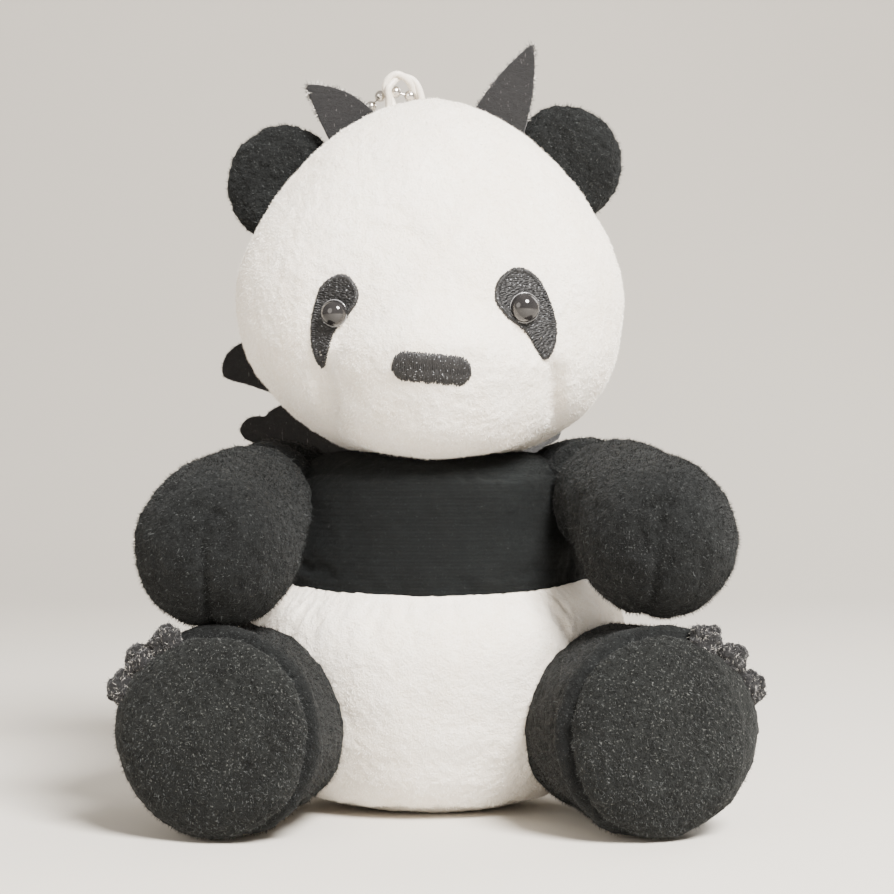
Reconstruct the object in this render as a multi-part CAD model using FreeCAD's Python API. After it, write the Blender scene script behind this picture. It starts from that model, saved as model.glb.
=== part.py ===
import FreeCAD, Part
import math
import os

from FreeCAD import Matrix, Placement, Rotation, Vector

# Sitting plush panda with felt horns and wings, on a ball chain. Millimetres, +Z up, face towards -Y.
# The origin is the middle of the flat that the seat makes on the table. "left" is the side at -X.
# Every soft part is a fabric skin with its own stuffing inside. Limbs, ears, horns and wings are
# each sewn on at one line, which is where they bend.

# ---- fabric and clearances
SKIN = 1.2  # plush backing and pile together
FILL_GAP = 0.15  # between a skin and the fibre inside it
SEAM_GAP = 0.45  # between two parts that move on each other
FELT = 1.6  # two layers of felt, glued

# ---- head
HEAD_HALF_WIDTH = 38.0
HEAD_HALF_DEPTH = 31.0
HEAD_Y = -4.0
HEAD_LOW, HEAD_MID, HEAD_TOP = 67.8, 99.0, 140.0
SKULL_POWERS = (2.15, 1.73)  # below and above its widest height
MUZZLE_CENTRE = Vector(0.8, -18.5, 83.0)
MUZZLE_HALF = Vector(21.0, 19.0, 13.0)

# ---- torso: (radius, height) of its outline from the seat's edge up to the shoulder
TORSO_OUTLINE = [(15.0, 0.0), (27.5, 8.5), (35.5, 24.0), (36.6, 36.0),
                 (31.5, 45.5), (28.6, 54.0), (26.5, 65.6)]
NECK_RADIUS = 7.0
NECK_LOW, NECK_HIGH = 65.8, 67.2  # the gathered seam between torso and head
BAND_Z = 44.0  # where the black chest meets the white belly
ARM_FLAT = 24.0  # half-width between the flats that the arms are sewn to
LEG_FLAT = 21.5  # the same for the legs, up to HIP_TOP and back to HIP_BACK
HIP_TOP = 38.0
HIP_BACK = 16.0
SIDE_SEAM_Y = -8.0

# ---- face
EYE_RADIUS = 2.55
EYE_PLACES = {"left": Vector(-17.6, 0, 96.0), "right": Vector(17.7, 0, 96.9)}
EYE_SUNK = 0.4  # the dome's centre lies this far behind its flat back
EYE_TIPPED = 0.6  # how much of the face's slope the eye follows
EYE_SHANK_RADIUS = 1.0
EYE_SHANK_LENGTH = 5.4
WASHER_RADIUS = 4.0
WASHER_THICKNESS = 1.2
WASHER_FIT = 0.05
WASHER_DEPTH = 4.0  # from the eye's back to the washer's back
POCKET_GAP = 0.3  # round the washer, in the fibre
POCKET_BACK = 1.6
POCKET_LENGTH = 5.0
THREAD_PAD = 0.7  # embroidery stands this far above the pile
NOSE_PLACE = Vector(0.6, 0, 85.3)
NOSE_HALF = (7.6, 3.3)
NOSE_TURN = 6.0  # degrees, clockwise seen from the front

# ---- ears, horns and hanging loop, all sewn into the seam over the crown
EAR_HALF = Vector(11.6, 5.5, 12.0)
EAR_CENTRES = {"left": Vector(-29.4, 3.5, 124.0), "right": Vector(27.2, 3.5, 128.0)}
EAR_ROOT_GAP = 1.6
HORN_Y = -2.0
HORNS = {  # two base corners, tip, and how far the two edges bow out
    "left": (Vector(-18.0, 0, 132.5), Vector(-11.4, 0, 135.8), Vector(-24.8, 0, 143.6), 0.4, -1.6),
    "right": (Vector(8.6, 0, 138.2), Vector(17.4, 0, 134.6), Vector(20.4, 0, 151.2), 1.2, 0.6),
}
LOOP_CENTRE = Vector(-5.5, 2.6, 142.2)
LOOP_RADIUS = 3.2
LOOP_CORD = 0.75
LOOP_TURN = 45.0  # degrees about Z, from square across the chain

# ---- ball chain
BEAD_RADIUS = 1.2
BEAD_WALL = 0.2
BEAD_PITCH = 3.1
BEAD_HOLE = 0.42
PIN_RADIUS = 0.17
PIN_HEAD = 0.46
PIN_HEAD_DEPTH = 0.56  # from the bead's centre to the pin head's centre
ARCH_X = -7.0
ARCH_RADIUS = 5.5
ARCH_TOP = Vector(ARCH_X, 2.6, 142.4)
ARCH_LEAN = math.radians(33.4)  # the arch leans back over the crown
STRAND_X = 5.4  # each strand runs this far to the side of ARCH_X
CHAIN_OFF_HEAD = 1.75  # bead centres stand this far off the head
CONNECTOR_RADIUS, CONNECTOR_WALL, CONNECTOR_SLOT = 1.6, 0.25, 1.5
CONNECTOR_LENGTH = 8.4
CONNECTOR_BEAD_X = 2.8
ROWS = 7
PAIRS_PER_ROW = 2

# ---- arms and legs: a round root in the body's side, and a bigger round end
ARMS = {"left": (Vector(-31.0, 0, 61.5), Vector(-39.0, -33.0, 53.2)),
        "right": (Vector(31.0, 0, 62.0), Vector(42.0, -33.0, 55.6))}
ARM_ROOT_RADIUS = 11.5
PAW_RADIUS = 15.4
LEGS = {"left": (Vector(-29.0, -3.0, 19.2), 14.0), "right": (Vector(29.5, -3.0, 19.2), 18.5)}  # root, splay
LEG_ROOT_RADIUS = 16.5
LEG_LENGTH = 43.0
FOOT_RADIUS = 19.0
FOOT_Z = 19.0
SOLE_BULGE = 5.0
LEG_SPLAY = 20.0  # how much further each leg can swing out
CLAW_ANGLES = (24, 42, 60)  # degrees round the sole from its top, outwards
CLAW_RADIUS = 3.1
CLAW_THICKNESS = 2.0
CLAW_OUT = 0.2

# ---- wings
WING_ROOT_X = 6.0
WING_ROOT_Y = 30.5
WING_PLAN = [(0.0, 63.0), (14.0, 82.0), (33.5, 93.8), (39.6, 86.4), (33.0, 85.4), (24.0, 80.5),
             (35.5, 77.0), (27.0, 69.5), (12.0, 62.0), (0.0, 51.0)]
WING_NOTCH_RISE = 0.8
WING_SWEEP = {"left": 6.0, "right": 48.0}  # degrees back from straight out


def save(shape, name):
    """Writes one node, as a compound of its closed solids."""
    solids = shape.Solids
    assert solids and all(s.isValid() and s.Volume > 0 for s in solids), name
    node = solids[0] if len(solids) == 1 else Part.makeCompound(solids)
    node.exportStep(f"parts/{name}.step")
    print(f"{name}: {len(solids)} solid(s), {sum(s.Volume for s in solids):.0f} mm3")


def superellipse(half_width, low, mid, high, power_low, power_high, steps=8):
    """Outline points (radius, z) from the bottom pole to the top pole."""
    points = []
    for i in range(-steps, steps + 1):
        t = math.pi / 2 * i / steps
        reach, power = (mid - low, power_low) if i < 0 else (high - mid, power_high)
        radius = half_width * abs(math.cos(t)) ** (2 / power) if abs(i) < steps else 0.0
        points.append((radius, mid + math.copysign(reach * abs(math.sin(t)) ** (2 / power), t)))
    return points


def stretched(shape, y_scale, y_shift):
    m = Matrix()
    m.scale(Vector(1, y_scale, 1))
    m.move(Vector(0, y_shift, 0))
    return shape.transformGeometry(m)


def egg(half_width, half_depth, y, low, mid, high, power_low=2.0, power_high=2.0, grow=0.0):
    """A closed egg, turned about Z and then flattened front to back. grow moves its wall outwards."""
    outline = superellipse(half_width + grow, low - grow, mid, high + grow, power_low, power_high)
    curve = Part.BSplineCurve()
    points = [Vector(r, 0, z) for r, z in outline]
    curve.interpolate(Points=points, InitialTangent=Vector(1, 0, 0), FinalTangent=Vector(-1, 0, 0))
    axis = Part.makeLine(points[-1], points[0])
    face = Part.Face(Part.Wire([curve.toShape(), axis]))
    solid = face.revolve(Vector(0, 0, 0), Vector(0, 0, 1), 360)
    return stretched(solid, (half_depth + grow) / (half_width + grow), y)


def ellipsoid(centre, half):
    m = Matrix()
    m.scale(half)
    m.move(centre)
    return Part.makeSphere(1.0).transformGeometry(m)


def skull_form(grow=0.0):
    return egg(HEAD_HALF_WIDTH, HEAD_HALF_DEPTH, HEAD_Y, HEAD_LOW, HEAD_MID, HEAD_TOP, *SKULL_POWERS, grow)


def head_form(grow=0.0):
    return skull_form(grow).fuse(ellipsoid(MUZZLE_CENTRE, MUZZLE_HALF + Vector(grow, grow, grow)))


def torso_form(shrink=0.0):
    """A pear, flat under the seat and on the shoulders."""
    seat, *side = [Vector(r - shrink, 0, z) for r, z in TORSO_OUTLINE]
    seat.z += shrink
    side[-1].z -= shrink
    curve = Part.BSplineCurve()
    curve.interpolate([seat] + side)
    shoulder = side[-1]
    corners = [shoulder, Vector(0, 0, shoulder.z), Vector(0, 0, seat.z), seat]
    edges = [curve.toShape()] + [Part.makeLine(a, b) for a, b in zip(corners, corners[1:])]
    return Part.Face(Part.Wire(edges)).revolve(Vector(0, 0, 0), Vector(0, 0, 1), 360)


def aimed(shape, origin, direction):
    """Places a shape drawn along +Z so that it starts at origin and runs along direction."""
    shape.Placement = Placement(origin, Rotation(Vector(0, 0, 1), direction))
    return shape


def turned_outline(edges, origin, direction):
    face = Part.Face(Part.Wire(edges))
    return aimed(face.revolve(Vector(0, 0, 0), Vector(0, 0, 1), 360), origin, direction)


def arm_form(side, grow=0.0):
    """Root ball and paw ball joined by their tangent cone, as one turned solid."""
    root, paw = ARMS[side]
    axis = paw - root
    reach = axis.Length
    r0, r1 = ARM_ROOT_RADIUS + grow, PAW_RADIUS + grow
    lean = math.asin((r0 - r1) / reach)
    c, s = math.cos(lean), math.sin(lean)
    a0, a1 = Vector(0, 0, -r0), Vector(r0 * c, 0, r0 * s)
    b0, b1 = Vector(r1 * c, 0, reach + r1 * s), Vector(0, 0, reach + r1)
    mid0 = Vector(r0 * math.sin((math.pi / 2 + lean) / 2), 0, -r0 * math.cos((math.pi / 2 + lean) / 2))
    mid1 = Vector(r1 * math.sin((math.pi / 2 - lean) / 2), 0, reach + r1 * math.cos((math.pi / 2 - lean) / 2))
    edges = [Part.Arc(a0, mid0, a1).toShape(), Part.makeLine(a1, b0),
             Part.Arc(b0, mid1, b1).toShape(), Part.makeLine(b1, a0)]
    return turned_outline(edges, root, axis)


def leg_axis(side):
    sign = -1 if side == "left" else 1
    splay = math.radians(LEGS[side][1])
    root = LEGS[side][0]
    foot = root + Vector(sign * math.sin(splay), -math.cos(splay), 0) * LEG_LENGTH
    foot.z = FOOT_Z
    return foot - root


def leg_form(side, grow=0.0):
    """Round hip and tapered leg, up to the sole's seam."""
    root, _ = LEGS[side]
    axis = leg_axis(side)
    r0, r1, reach = LEG_ROOT_RADIUS + grow, FOOT_RADIUS + grow, axis.Length
    back, hip, rim = Vector(0, 0, -r0), Vector(r0, 0, 0), Vector(r1, 0, reach)
    shoulder = Vector(r0 * math.sqrt(0.5), 0, -r0 * math.sqrt(0.5))
    edges = [Part.Arc(back, shoulder, hip).toShape(), Part.makeLine(hip, rim),
             Part.makeLine(rim, Vector(0, 0, reach)), Part.makeLine(Vector(0, 0, reach), back)]
    return turned_outline(edges, root, axis)


def sole_form(side, grow=0.0):
    """The domed pad that closes the leg."""
    root, _ = LEGS[side]
    axis = leg_axis(side)
    reach, radius, rise = axis.Length, FOOT_RADIUS + grow, SOLE_BULGE + grow
    sphere = (radius ** 2 + rise ** 2) / (2 * rise)
    centre = reach + rise - sphere
    half = math.asin(radius / sphere) / 2
    rim, top = Vector(radius, 0, reach), Vector(0, 0, reach + rise)
    middle = Vector(sphere * math.sin(half), 0, centre + sphere * math.cos(half))
    edges = [Part.Arc(rim, middle, top).toShape(), Part.makeLine(top, Vector(0, 0, reach)),
             Part.makeLine(Vector(0, 0, reach), rim)]
    return turned_outline(edges, root, axis)


def beside(inner, back, low, high):
    """Two blocks, one on each side of the body, that start at X = inner and end at Y = back."""
    size = (100, 100 + back, high - low)
    return [Part.makeBox(*size, Vector(x, -100, low)) for x in (inner, -inner - 100)]


def make_torso():
    """The pear with flat sides where the arms and legs are sewn on."""
    sides = beside(ARM_FLAT, 100, BAND_Z, 100) + beside(LEG_FLAT, HIP_BACK, -10, HIP_TOP)
    save(Part.makeCylinder(NECK_RADIUS, NECK_HIGH - NECK_LOW, Vector(0, 0, NECK_LOW)), "neck_seam")
    shell = torso_form().cut(torso_form(SKIN)).cut(sides)
    save(torso_form(SKIN + FILL_GAP).cut(sides), "torso_stuffing")
    front = Part.makeBox(200, 100 + SIDE_SEAM_Y, 200, Vector(-100, -100, -20))
    chest = Part.makeBox(200, 200, 100, Vector(-100, -100, BAND_Z))
    save(shell.common(front).common(chest), "chest_panel")
    save(shell.cut(front).common(chest), "upper_back_panel")
    save(shell.common(front).cut(chest), "belly_panel")
    save(shell.cut(front).cut(chest), "lower_back_panel")


def skull_radius(z):
    """Half-width of the skull at height z, before it is flattened front to back."""
    below, above = (HEAD_MID - HEAD_LOW, SKULL_POWERS[0]), (HEAD_TOP - HEAD_MID, SKULL_POWERS[1])
    reach, power = below if z < HEAD_MID else above
    rise = (abs(z - HEAD_MID) / reach) ** (power / 2)
    return HEAD_HALF_WIDTH * (1 - rise ** 2) ** (1 / power)


def face_y(x, z):
    """How far forward the face stands at (x, z): the skull or the muzzle, whichever is in front."""
    skull = HEAD_Y - HEAD_HALF_DEPTH / HEAD_HALF_WIDTH * math.sqrt(max(0.0, skull_radius(z) ** 2 - x ** 2))
    away = ((x - MUZZLE_CENTRE.x) / MUZZLE_HALF.x) ** 2 + ((z - MUZZLE_CENTRE.z) / MUZZLE_HALF.z) ** 2
    muzzle = MUZZLE_CENTRE.y - MUZZLE_HALF.y * math.sqrt(1 - away) if away < 1 else 0.0
    return min(skull, muzzle)


def front_of_head(x, z):
    """The point on the face at (x, z), and the outward normal there."""
    step = 0.1
    slope_x = (face_y(x + step, z) - face_y(x - step, z)) / (2 * step)
    slope_z = (face_y(x, z + step) - face_y(x, z - step)) / (2 * step)
    return Vector(x, face_y(x, z), z), Vector(slope_x, -1, slope_z).normalize()


def make_eye(side, place):
    """A domed eye on a shank, and the washer that locks it behind the fabric."""
    point, slope = front_of_head(place.x, place.z)
    normal = Vector(slope.x * EYE_TIPPED, slope.y, slope.z * EYE_TIPPED).normalize()
    seat = point + normal * THREAD_PAD
    behind = Part.makeBox(10, 10, 10, Vector(-5, -5, -10))
    dome = Part.makeSphere(EYE_RADIUS, Vector(0, 0, -EYE_SUNK)).cut(behind)
    shank = Part.makeCylinder(EYE_SHANK_RADIUS, EYE_SHANK_LENGTH, Vector(0, 0, 0), Vector(0, 0, -1))
    eye = aimed(dome.fuse(shank), seat, normal)
    bore = Part.makeCylinder(EYE_SHANK_RADIUS + WASHER_FIT, WASHER_THICKNESS)
    ring = Part.makeCylinder(WASHER_RADIUS, WASHER_THICKNESS).cut(bore)
    washer_back = seat - normal * WASHER_DEPTH
    save(eye, f"eye_{side}")
    save(aimed(ring, washer_back, normal), f"eye_washer_{side}")
    pocket = Part.makeCylinder(WASHER_RADIUS + POCKET_GAP, POCKET_LENGTH)
    return eye, aimed(pocket, washer_back - normal * POCKET_BACK, normal)


def thread_pad(outline, name, cutters=()):
    """Embroidery: the part of a thin layer over the face that lies inside an outline drawn in XZ."""
    prism = Part.Face(outline).extrude(Vector(0, 60, 0))
    pad = HEAD_PAD.cut(HEAD).common(prism)
    for cutter in cutters:
        pad = pad.cut(cutter)
    save(pad, name)


def eye_patch_outline(side):
    """A bean shape: round over the eye, and drawn to a point below and outwards."""
    sign = -1 if side == "left" else 1
    eye = EYE_PLACES[side]
    lean = 0.2 if side == "left" else 1.0
    plan = [(-4.2, -0.6), (-3.9, 3.6), (-0.2, 6.2), (3.6, 4.4), (4.6, -1.6), (3.6, -6.6),
            (2.2 + 1.6 * lean, -10.4), (-0.6, -5.0)]
    points = [Vector(eye.x + sign * x, -70, eye.z + z) for x, z in plan]
    curve = Part.BSplineCurve()
    curve.interpolate(Points=points, PeriodicFlag=True)
    return Part.Wire([curve.toShape()])


def nose_outline():
    half_x, half_z = NOSE_HALF
    straight = half_x - half_z
    left, right = Vector(-straight, 0, 0), Vector(straight, 0, 0)
    up = Vector(0, 0, half_z)
    side = Vector(half_z, 0, 0)
    wire = Part.Wire([Part.makeLine(left + up, right + up),
                      Part.Arc(right + up, right + side, right - up).toShape(),
                      Part.makeLine(right - up, left - up),
                      Part.Arc(left - up, left - side, left + up).toShape()])
    wire.rotate(Vector(0, 0, 0), Vector(0, 1, 0), NOSE_TURN)
    wire.translate(Vector(NOSE_PLACE.x, -70, NOSE_PLACE.z))
    return wire


def make_head():
    skin = HEAD.cut(head_form(-SKIN))
    stuffing = skull_form(-SKIN - FILL_GAP)
    for side, place in EYE_PLACES.items():
        eye, pocket = make_eye(side, place)
        thread_pad(eye_patch_outline(side), f"eye_patch_{side}", [eye])
        skin = skin.cut(eye)
        stuffing = stuffing.cut(pocket)
    thread_pad(nose_outline(), "nose_embroidery")
    front = Part.makeBox(200, 100 + HEAD_Y, 200, Vector(-100, -100, 0))
    save(skin.common(front), "face_panel")
    save(skin.cut(front), "head_back_panel")
    save(stuffing, "head_stuffing")


def ear_form(side, shrink, gap):
    """An ear, drawn in by shrink and cut off at that gap from the head."""
    half = EAR_HALF - Vector(shrink, shrink, shrink)
    return ellipsoid(EAR_CENTRES[side], half).cut(head_form(gap))


def make_ears():
    for side in EAR_CENTRES:
        cavity = ear_form(side, SKIN, EAR_ROOT_GAP + SKIN)
        save(ear_form(side, 0.0, EAR_ROOT_GAP).cut(cavity), f"ear_{side}")
        save(ear_form(side, SKIN + FILL_GAP, EAR_ROOT_GAP + SKIN + FILL_GAP), f"ear_stuffing_{side}")


def bowed(a, b, bow):
    """An edge from a to b that bows sideways by bow, in the XZ plane."""
    if not bow:
        return Part.makeLine(a, b)
    along = (b - a).normalize()
    side = Vector(along.z, 0, -along.x)
    return Part.Arc(a, (a + b) * 0.5 + side * bow, b).toShape()


def make_horns():
    for side, (left, right, tip, bow_out, bow_in) in HORNS.items():
        wire = Part.Wire([bowed(left, tip, -bow_out), bowed(tip, right, -bow_in), Part.makeLine(right, left)])
        wire.translate(Vector(0, HORN_Y - FELT / 2, 0))
        horn = Part.Face(wire).extrude(Vector(0, FELT, 0)).cut(head_form(SEAM_GAP))
        save(horn, f"horn_{side}")


def make_loop():
    """A satin cord loop that stands on the crown: a ring with two short feet."""
    normal = Rotation(Vector(0, 0, 1), LOOP_TURN).multVec(Vector(1, 0, 0))
    ring = Part.makeTorus(LOOP_RADIUS, LOOP_CORD, LOOP_CENTRE, normal)
    save(ring.cut(head_form(SEAM_GAP)), "hanging_loop")


def back_of_head(distance):
    """(y, z) of a bead centre that lies on the back of the head, that far along from the arch."""
    half_depth = HEAD_HALF_DEPTH + CHAIN_OFF_HEAD
    half_height = HEAD_TOP - HEAD_MID + CHAIN_OFF_HEAD
    angle = math.asin((STRAND_START.y - HEAD_Y) / half_depth)
    steps = max(1, round(distance / 0.05))
    for _ in range(steps):
        stretch = math.hypot(half_depth * math.cos(angle), half_height * math.sin(angle))
        angle += distance / steps / stretch
    return HEAD_Y + half_depth * math.sin(angle), HEAD_MID + half_height * math.cos(angle)


def strand_bead(side, number):
    """Centre of a bead on one strand, counted down from the arch."""
    y, z = back_of_head(BEAD_PITCH * (number + 1))
    return Vector(ARCH_X + side * STRAND_X, y, z)


def arch_bead(number):
    """The five beads of the arch, counted from the left."""
    turn = 2 * math.asin(BEAD_PITCH / 2 / ARCH_RADIUS)
    angle = (number - 2) * turn
    drop = ARCH_RADIUS * (1 - math.cos(angle))
    down = Vector(0, math.sin(ARCH_LEAN), -math.cos(ARCH_LEAN))
    return ARCH_TOP + Vector(ARCH_RADIUS * math.sin(angle), 0, 0) + down * drop


def bead(centre, neighbours):
    ball = Part.makeSphere(BEAD_RADIUS, centre).cut(Part.makeSphere(BEAD_RADIUS - BEAD_WALL, centre))
    for other in neighbours:
        ball = ball.cut(Part.makeCylinder(BEAD_HOLE, BEAD_RADIUS * 1.5, centre, other - centre))
    return ball


def pin(a, b):
    """A dumbbell from bead centre a to bead centre b, turned in one piece."""
    reach = (b - a).Length - 2 * PIN_HEAD_DEPTH
    neck = math.sqrt(PIN_HEAD ** 2 - PIN_RADIUS ** 2)
    start, end = Vector(0, 0, -PIN_HEAD), Vector(0, 0, reach + PIN_HEAD)
    low, high = Vector(PIN_RADIUS, 0, neck), Vector(PIN_RADIUS, 0, reach - neck)
    edges = [Part.Arc(start, Vector(PIN_HEAD, 0, 0), low).toShape(), Part.makeLine(low, high),
             Part.Arc(high, Vector(PIN_HEAD, 0, reach), end).toShape(), Part.makeLine(end, start)]
    along = (b - a).normalize()
    return turned_outline(edges, a + along * PIN_HEAD_DEPTH, along)


STRAND_START = arch_bead(4)
HEAD = head_form()
HEAD_PAD = head_form(THREAD_PAD)


def end_bead(side):
    """Centre of the bead that closes a strand, inside the connector."""
    last = strand_bead(side, ROWS * PAIRS_PER_ROW - 1)
    inwards = ARCH_X + side * CONNECTOR_BEAD_X - last.x
    return last + Vector(inwards, 0, -math.sqrt(BEAD_PITCH ** 2 - inwards ** 2))


def make_connector(ends):
    """A bent strip of steel that holds the last bead of each strand, slotted along its top."""
    middle = (ends[0] + ends[1]) * 0.5
    start = middle - Vector(CONNECTOR_LENGTH / 2, 0, 0)
    tube = Part.makeCylinder(CONNECTOR_RADIUS, CONNECTOR_LENGTH, start, Vector(1, 0, 0))
    bore = Part.makeCylinder(CONNECTOR_RADIUS - CONNECTOR_WALL, CONNECTOR_LENGTH, start, Vector(1, 0, 0))
    slot = Part.makeBox(CONNECTOR_LENGTH, CONNECTOR_SLOT, 5, start - Vector(0, CONNECTOR_SLOT / 2, 0))
    save(tube.cut(bore).cut(slot), "chain_connector")


def make_chain():
    count = ROWS * PAIRS_PER_ROW
    arch = [arch_bead(i) for i in range(5)]
    strands = {}
    for s in (-1, 1):
        strands[s] = [arch[2 + 2 * s]] + [strand_bead(s, i) for i in range(count)] + [end_bead(s)]
    beads, pins = [], []
    for i, centre in enumerate(arch):
        before = arch[i - 1] if i else strands[-1][1]
        after = arch[i + 1] if i < 4 else strands[1][1]
        beads.append(bead(centre, [before, after]))
    pins += [pin(arch[i], arch[i + 1]) for i in range(4)]
    pins += [pin(strands[s][0], strands[s][1]) for s in (-1, 1)]
    save(Part.makeCompound(beads), "chain_beads_arch")
    save(Part.makeCompound(pins), "chain_pins_arch")
    for row in range(ROWS):
        beads, pins = [], []
        for strand in strands.values():
            for i in range(row * PAIRS_PER_ROW + 1, (row + 1) * PAIRS_PER_ROW + 1):
                beads.append(bead(strand[i], [strand[i - 1], strand[i + 1]]))
                pins.append(pin(strand[i], strand[i + 1]))
        save(Part.makeCompound(beads), f"chain_beads_{row + 1}")
        save(Part.makeCompound(pins), f"chain_pins_{row + 1}")
    ends = [strand[-1] for strand in strands.values()]
    save(Part.makeCompound([bead(s[-1], [s[-2]]) for s in strands.values()]), "chain_end_beads")
    make_connector(ends)


def body_core(half_width):
    """What a limb is cut off against, so that it stays beside the body as it swings."""
    return Part.makeBox(2 * half_width, 200, 150, Vector(-half_width, -100, -20))


def make_arms():
    core, inner_core = body_core(ARM_FLAT + SEAM_GAP), body_core(ARM_FLAT + SEAM_GAP + SKIN)
    fill_core = body_core(ARM_FLAT + SEAM_GAP + SKIN + FILL_GAP)
    for side in ARMS:
        save(arm_form(side).cut(core).cut(arm_form(side, -SKIN).cut(inner_core)), f"arm_{side}")
        save(arm_form(side, -SKIN - FILL_GAP).cut(fill_core), f"arm_stuffing_{side}")


def leg_cores(side, wall):
    """The body's flat as the leg meets it, at rest and swung right out."""
    core = body_core(LEG_FLAT + SEAM_GAP + wall)
    swung = core.copy()
    swung.rotate(LEGS[side][0], Vector(0, 0, 1), LEG_SPLAY if side == "left" else -LEG_SPLAY)
    return [core, swung]


def make_legs():
    fill = SKIN + FILL_GAP
    for side in LEGS:
        cavity = leg_form(side, -SKIN).fuse(sole_form(side, -SKIN)).cut(leg_cores(side, SKIN))
        save(leg_form(side).cut(leg_cores(side, 0)).cut(cavity), f"leg_{side}")
        save(sole_form(side).cut(leg_cores(side, 0)).cut(cavity), f"sole_{side}")
        stuffing = leg_form(side, -fill).fuse(sole_form(side, -fill)).cut(leg_cores(side, fill))
        save(stuffing, f"leg_stuffing_{side}")
        save(claw_strip(side), f"toe_claws_{side}")


def claw_strip(side):
    """Three felt claws in the seam at the toes."""
    root, _ = LEGS[side]
    sign = -1 if side == "left" else 1
    axis = leg_axis(side)
    along = Vector(axis).normalize()
    up = Vector(0, 0, 1)
    across = Vector(-along.y, along.x, 0)
    across = across if across.x * sign > 0 else -across
    rim = root + axis
    claws = []
    for angle in CLAW_ANGLES:
        a = math.radians(angle)
        out = up * math.cos(a) + across * math.sin(a)
        centre = rim + out * (FOOT_RADIUS + CLAW_OUT) - along * CLAW_THICKNESS
        claws.append(Part.makeCylinder(CLAW_RADIUS, CLAW_THICKNESS, centre, along))
    strip = claws[0].fuse(claws[1:])
    return strip.cut(leg_form(side).fuse(sole_form(side)))


def make_wings():
    for side, sweep in WING_SWEEP.items():
        sign = -1 if side == "left" else 1
        points = [Vector(sign * (WING_ROOT_X + x), 0, z) for x, z in WING_PLAN]
        top = Part.BSplineCurve()
        top.interpolate(points[0:4])
        lobe = Part.BSplineCurve()
        lobe.interpolate(points[3:6])
        low = Part.BSplineCurve()
        low.interpolate([points[5], (points[5] + points[6]) * 0.5 + Vector(0, 0, WING_NOTCH_RISE), points[6]])
        trail = Part.BSplineCurve()
        trail.interpolate(points[6:10])
        edges = [c.toShape() for c in (top, lobe, low, trail)] + [Part.makeLine(points[9], points[0])]
        wing = Part.Face(Part.Wire(edges)).extrude(Vector(0, FELT, 0))
        wing.translate(Vector(0, WING_ROOT_Y, 0))
        wing.rotate(Vector(sign * WING_ROOT_X, WING_ROOT_Y, 0), Vector(0, 0, 1), sign * sweep)
        save(wing, f"wing_{side}")


def main():
    os.makedirs("parts", exist_ok=True)
    make_head()
    make_ears()
    make_horns()
    make_loop()
    make_chain()
    make_arms()
    make_legs()
    make_wings()
    make_torso()


main()
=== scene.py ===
# %% [markdown]
# A sitting toy panda on a ball chain: black and white short-pile plush over loose fibre, with felt horns
# and wings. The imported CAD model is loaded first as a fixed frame. It says where each piece is and what
# moves, and the plush, felt, thread and cord made below stand in for its plain solids.

import math

import bpy
import numpy as np
from mathutils import Matrix, Vector


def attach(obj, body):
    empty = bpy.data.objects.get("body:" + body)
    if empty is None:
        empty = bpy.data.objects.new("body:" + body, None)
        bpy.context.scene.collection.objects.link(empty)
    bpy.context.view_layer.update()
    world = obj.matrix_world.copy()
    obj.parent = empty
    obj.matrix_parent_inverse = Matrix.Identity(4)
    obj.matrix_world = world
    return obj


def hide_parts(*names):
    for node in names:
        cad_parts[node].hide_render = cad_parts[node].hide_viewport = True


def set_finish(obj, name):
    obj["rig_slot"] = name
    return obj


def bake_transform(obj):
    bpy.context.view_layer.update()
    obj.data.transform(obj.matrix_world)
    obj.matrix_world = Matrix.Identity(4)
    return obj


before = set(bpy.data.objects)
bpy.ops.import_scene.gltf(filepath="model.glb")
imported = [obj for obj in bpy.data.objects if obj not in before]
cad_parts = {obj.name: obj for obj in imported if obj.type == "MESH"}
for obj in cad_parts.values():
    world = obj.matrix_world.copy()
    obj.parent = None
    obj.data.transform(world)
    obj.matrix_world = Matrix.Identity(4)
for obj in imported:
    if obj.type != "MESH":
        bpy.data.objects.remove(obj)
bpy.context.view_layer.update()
MM = 0.001
SIGN = {"left": -1, "right": 1}


# %% [markdown]
# Operators act on whatever is selected, and loading leaves every CAD node selected. These helpers put one
# object in charge, read and write its points as an array, and apply a modifier.

# %% Selection, points and modifiers
def only(obj):
    """Makes obj the one selected and active object."""
    if bpy.context.object and bpy.context.object.mode != "OBJECT":
        bpy.ops.object.mode_set(mode="OBJECT")
    bpy.ops.object.select_all(action="DESELECT")
    obj.select_set(True)
    bpy.context.view_layer.objects.active = obj
    return obj


def named(name):
    obj = bpy.context.object
    obj.name = name
    obj.data.name = name
    return only(obj)


def points_of(obj):
    flat = np.empty(len(obj.data.vertices) * 3)
    obj.data.vertices.foreach_get("co", flat)
    return flat.reshape(-1, 3)


def set_points(obj, points):
    obj.data.vertices.foreach_set("co", np.ascontiguousarray(points).ravel())
    obj.data.update()


def mm_points(obj):
    return points_of(obj) / MM


def set_mm(obj, points):
    set_points(obj, points * MM)


def mesh_object(name, points, faces):
    """A new object from points, in metres, and faces."""
    mesh = bpy.data.meshes.new(name)
    mesh.from_pydata(points, [], faces)
    obj = bpy.data.objects.new(name, mesh)
    bpy.context.collection.objects.link(obj)
    return obj


def normals_of(obj):
    flat = np.empty(len(obj.data.vertices) * 3)
    obj.data.vertices.foreach_get("normal", flat)
    return flat.reshape(-1, 3)


def apply(obj, kind, **settings):
    """Adds one modifier, sets it up and applies it."""
    only(obj)
    modifier = obj.modifiers.new(kind.title(), kind)
    for key, value in settings.items():
        setattr(modifier, key, value)
    bpy.ops.object.modifier_apply(modifier=modifier.name)
    return obj


def refine(obj):
    return apply(obj, "SUBSURF", levels=1, render_levels=1)


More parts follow.
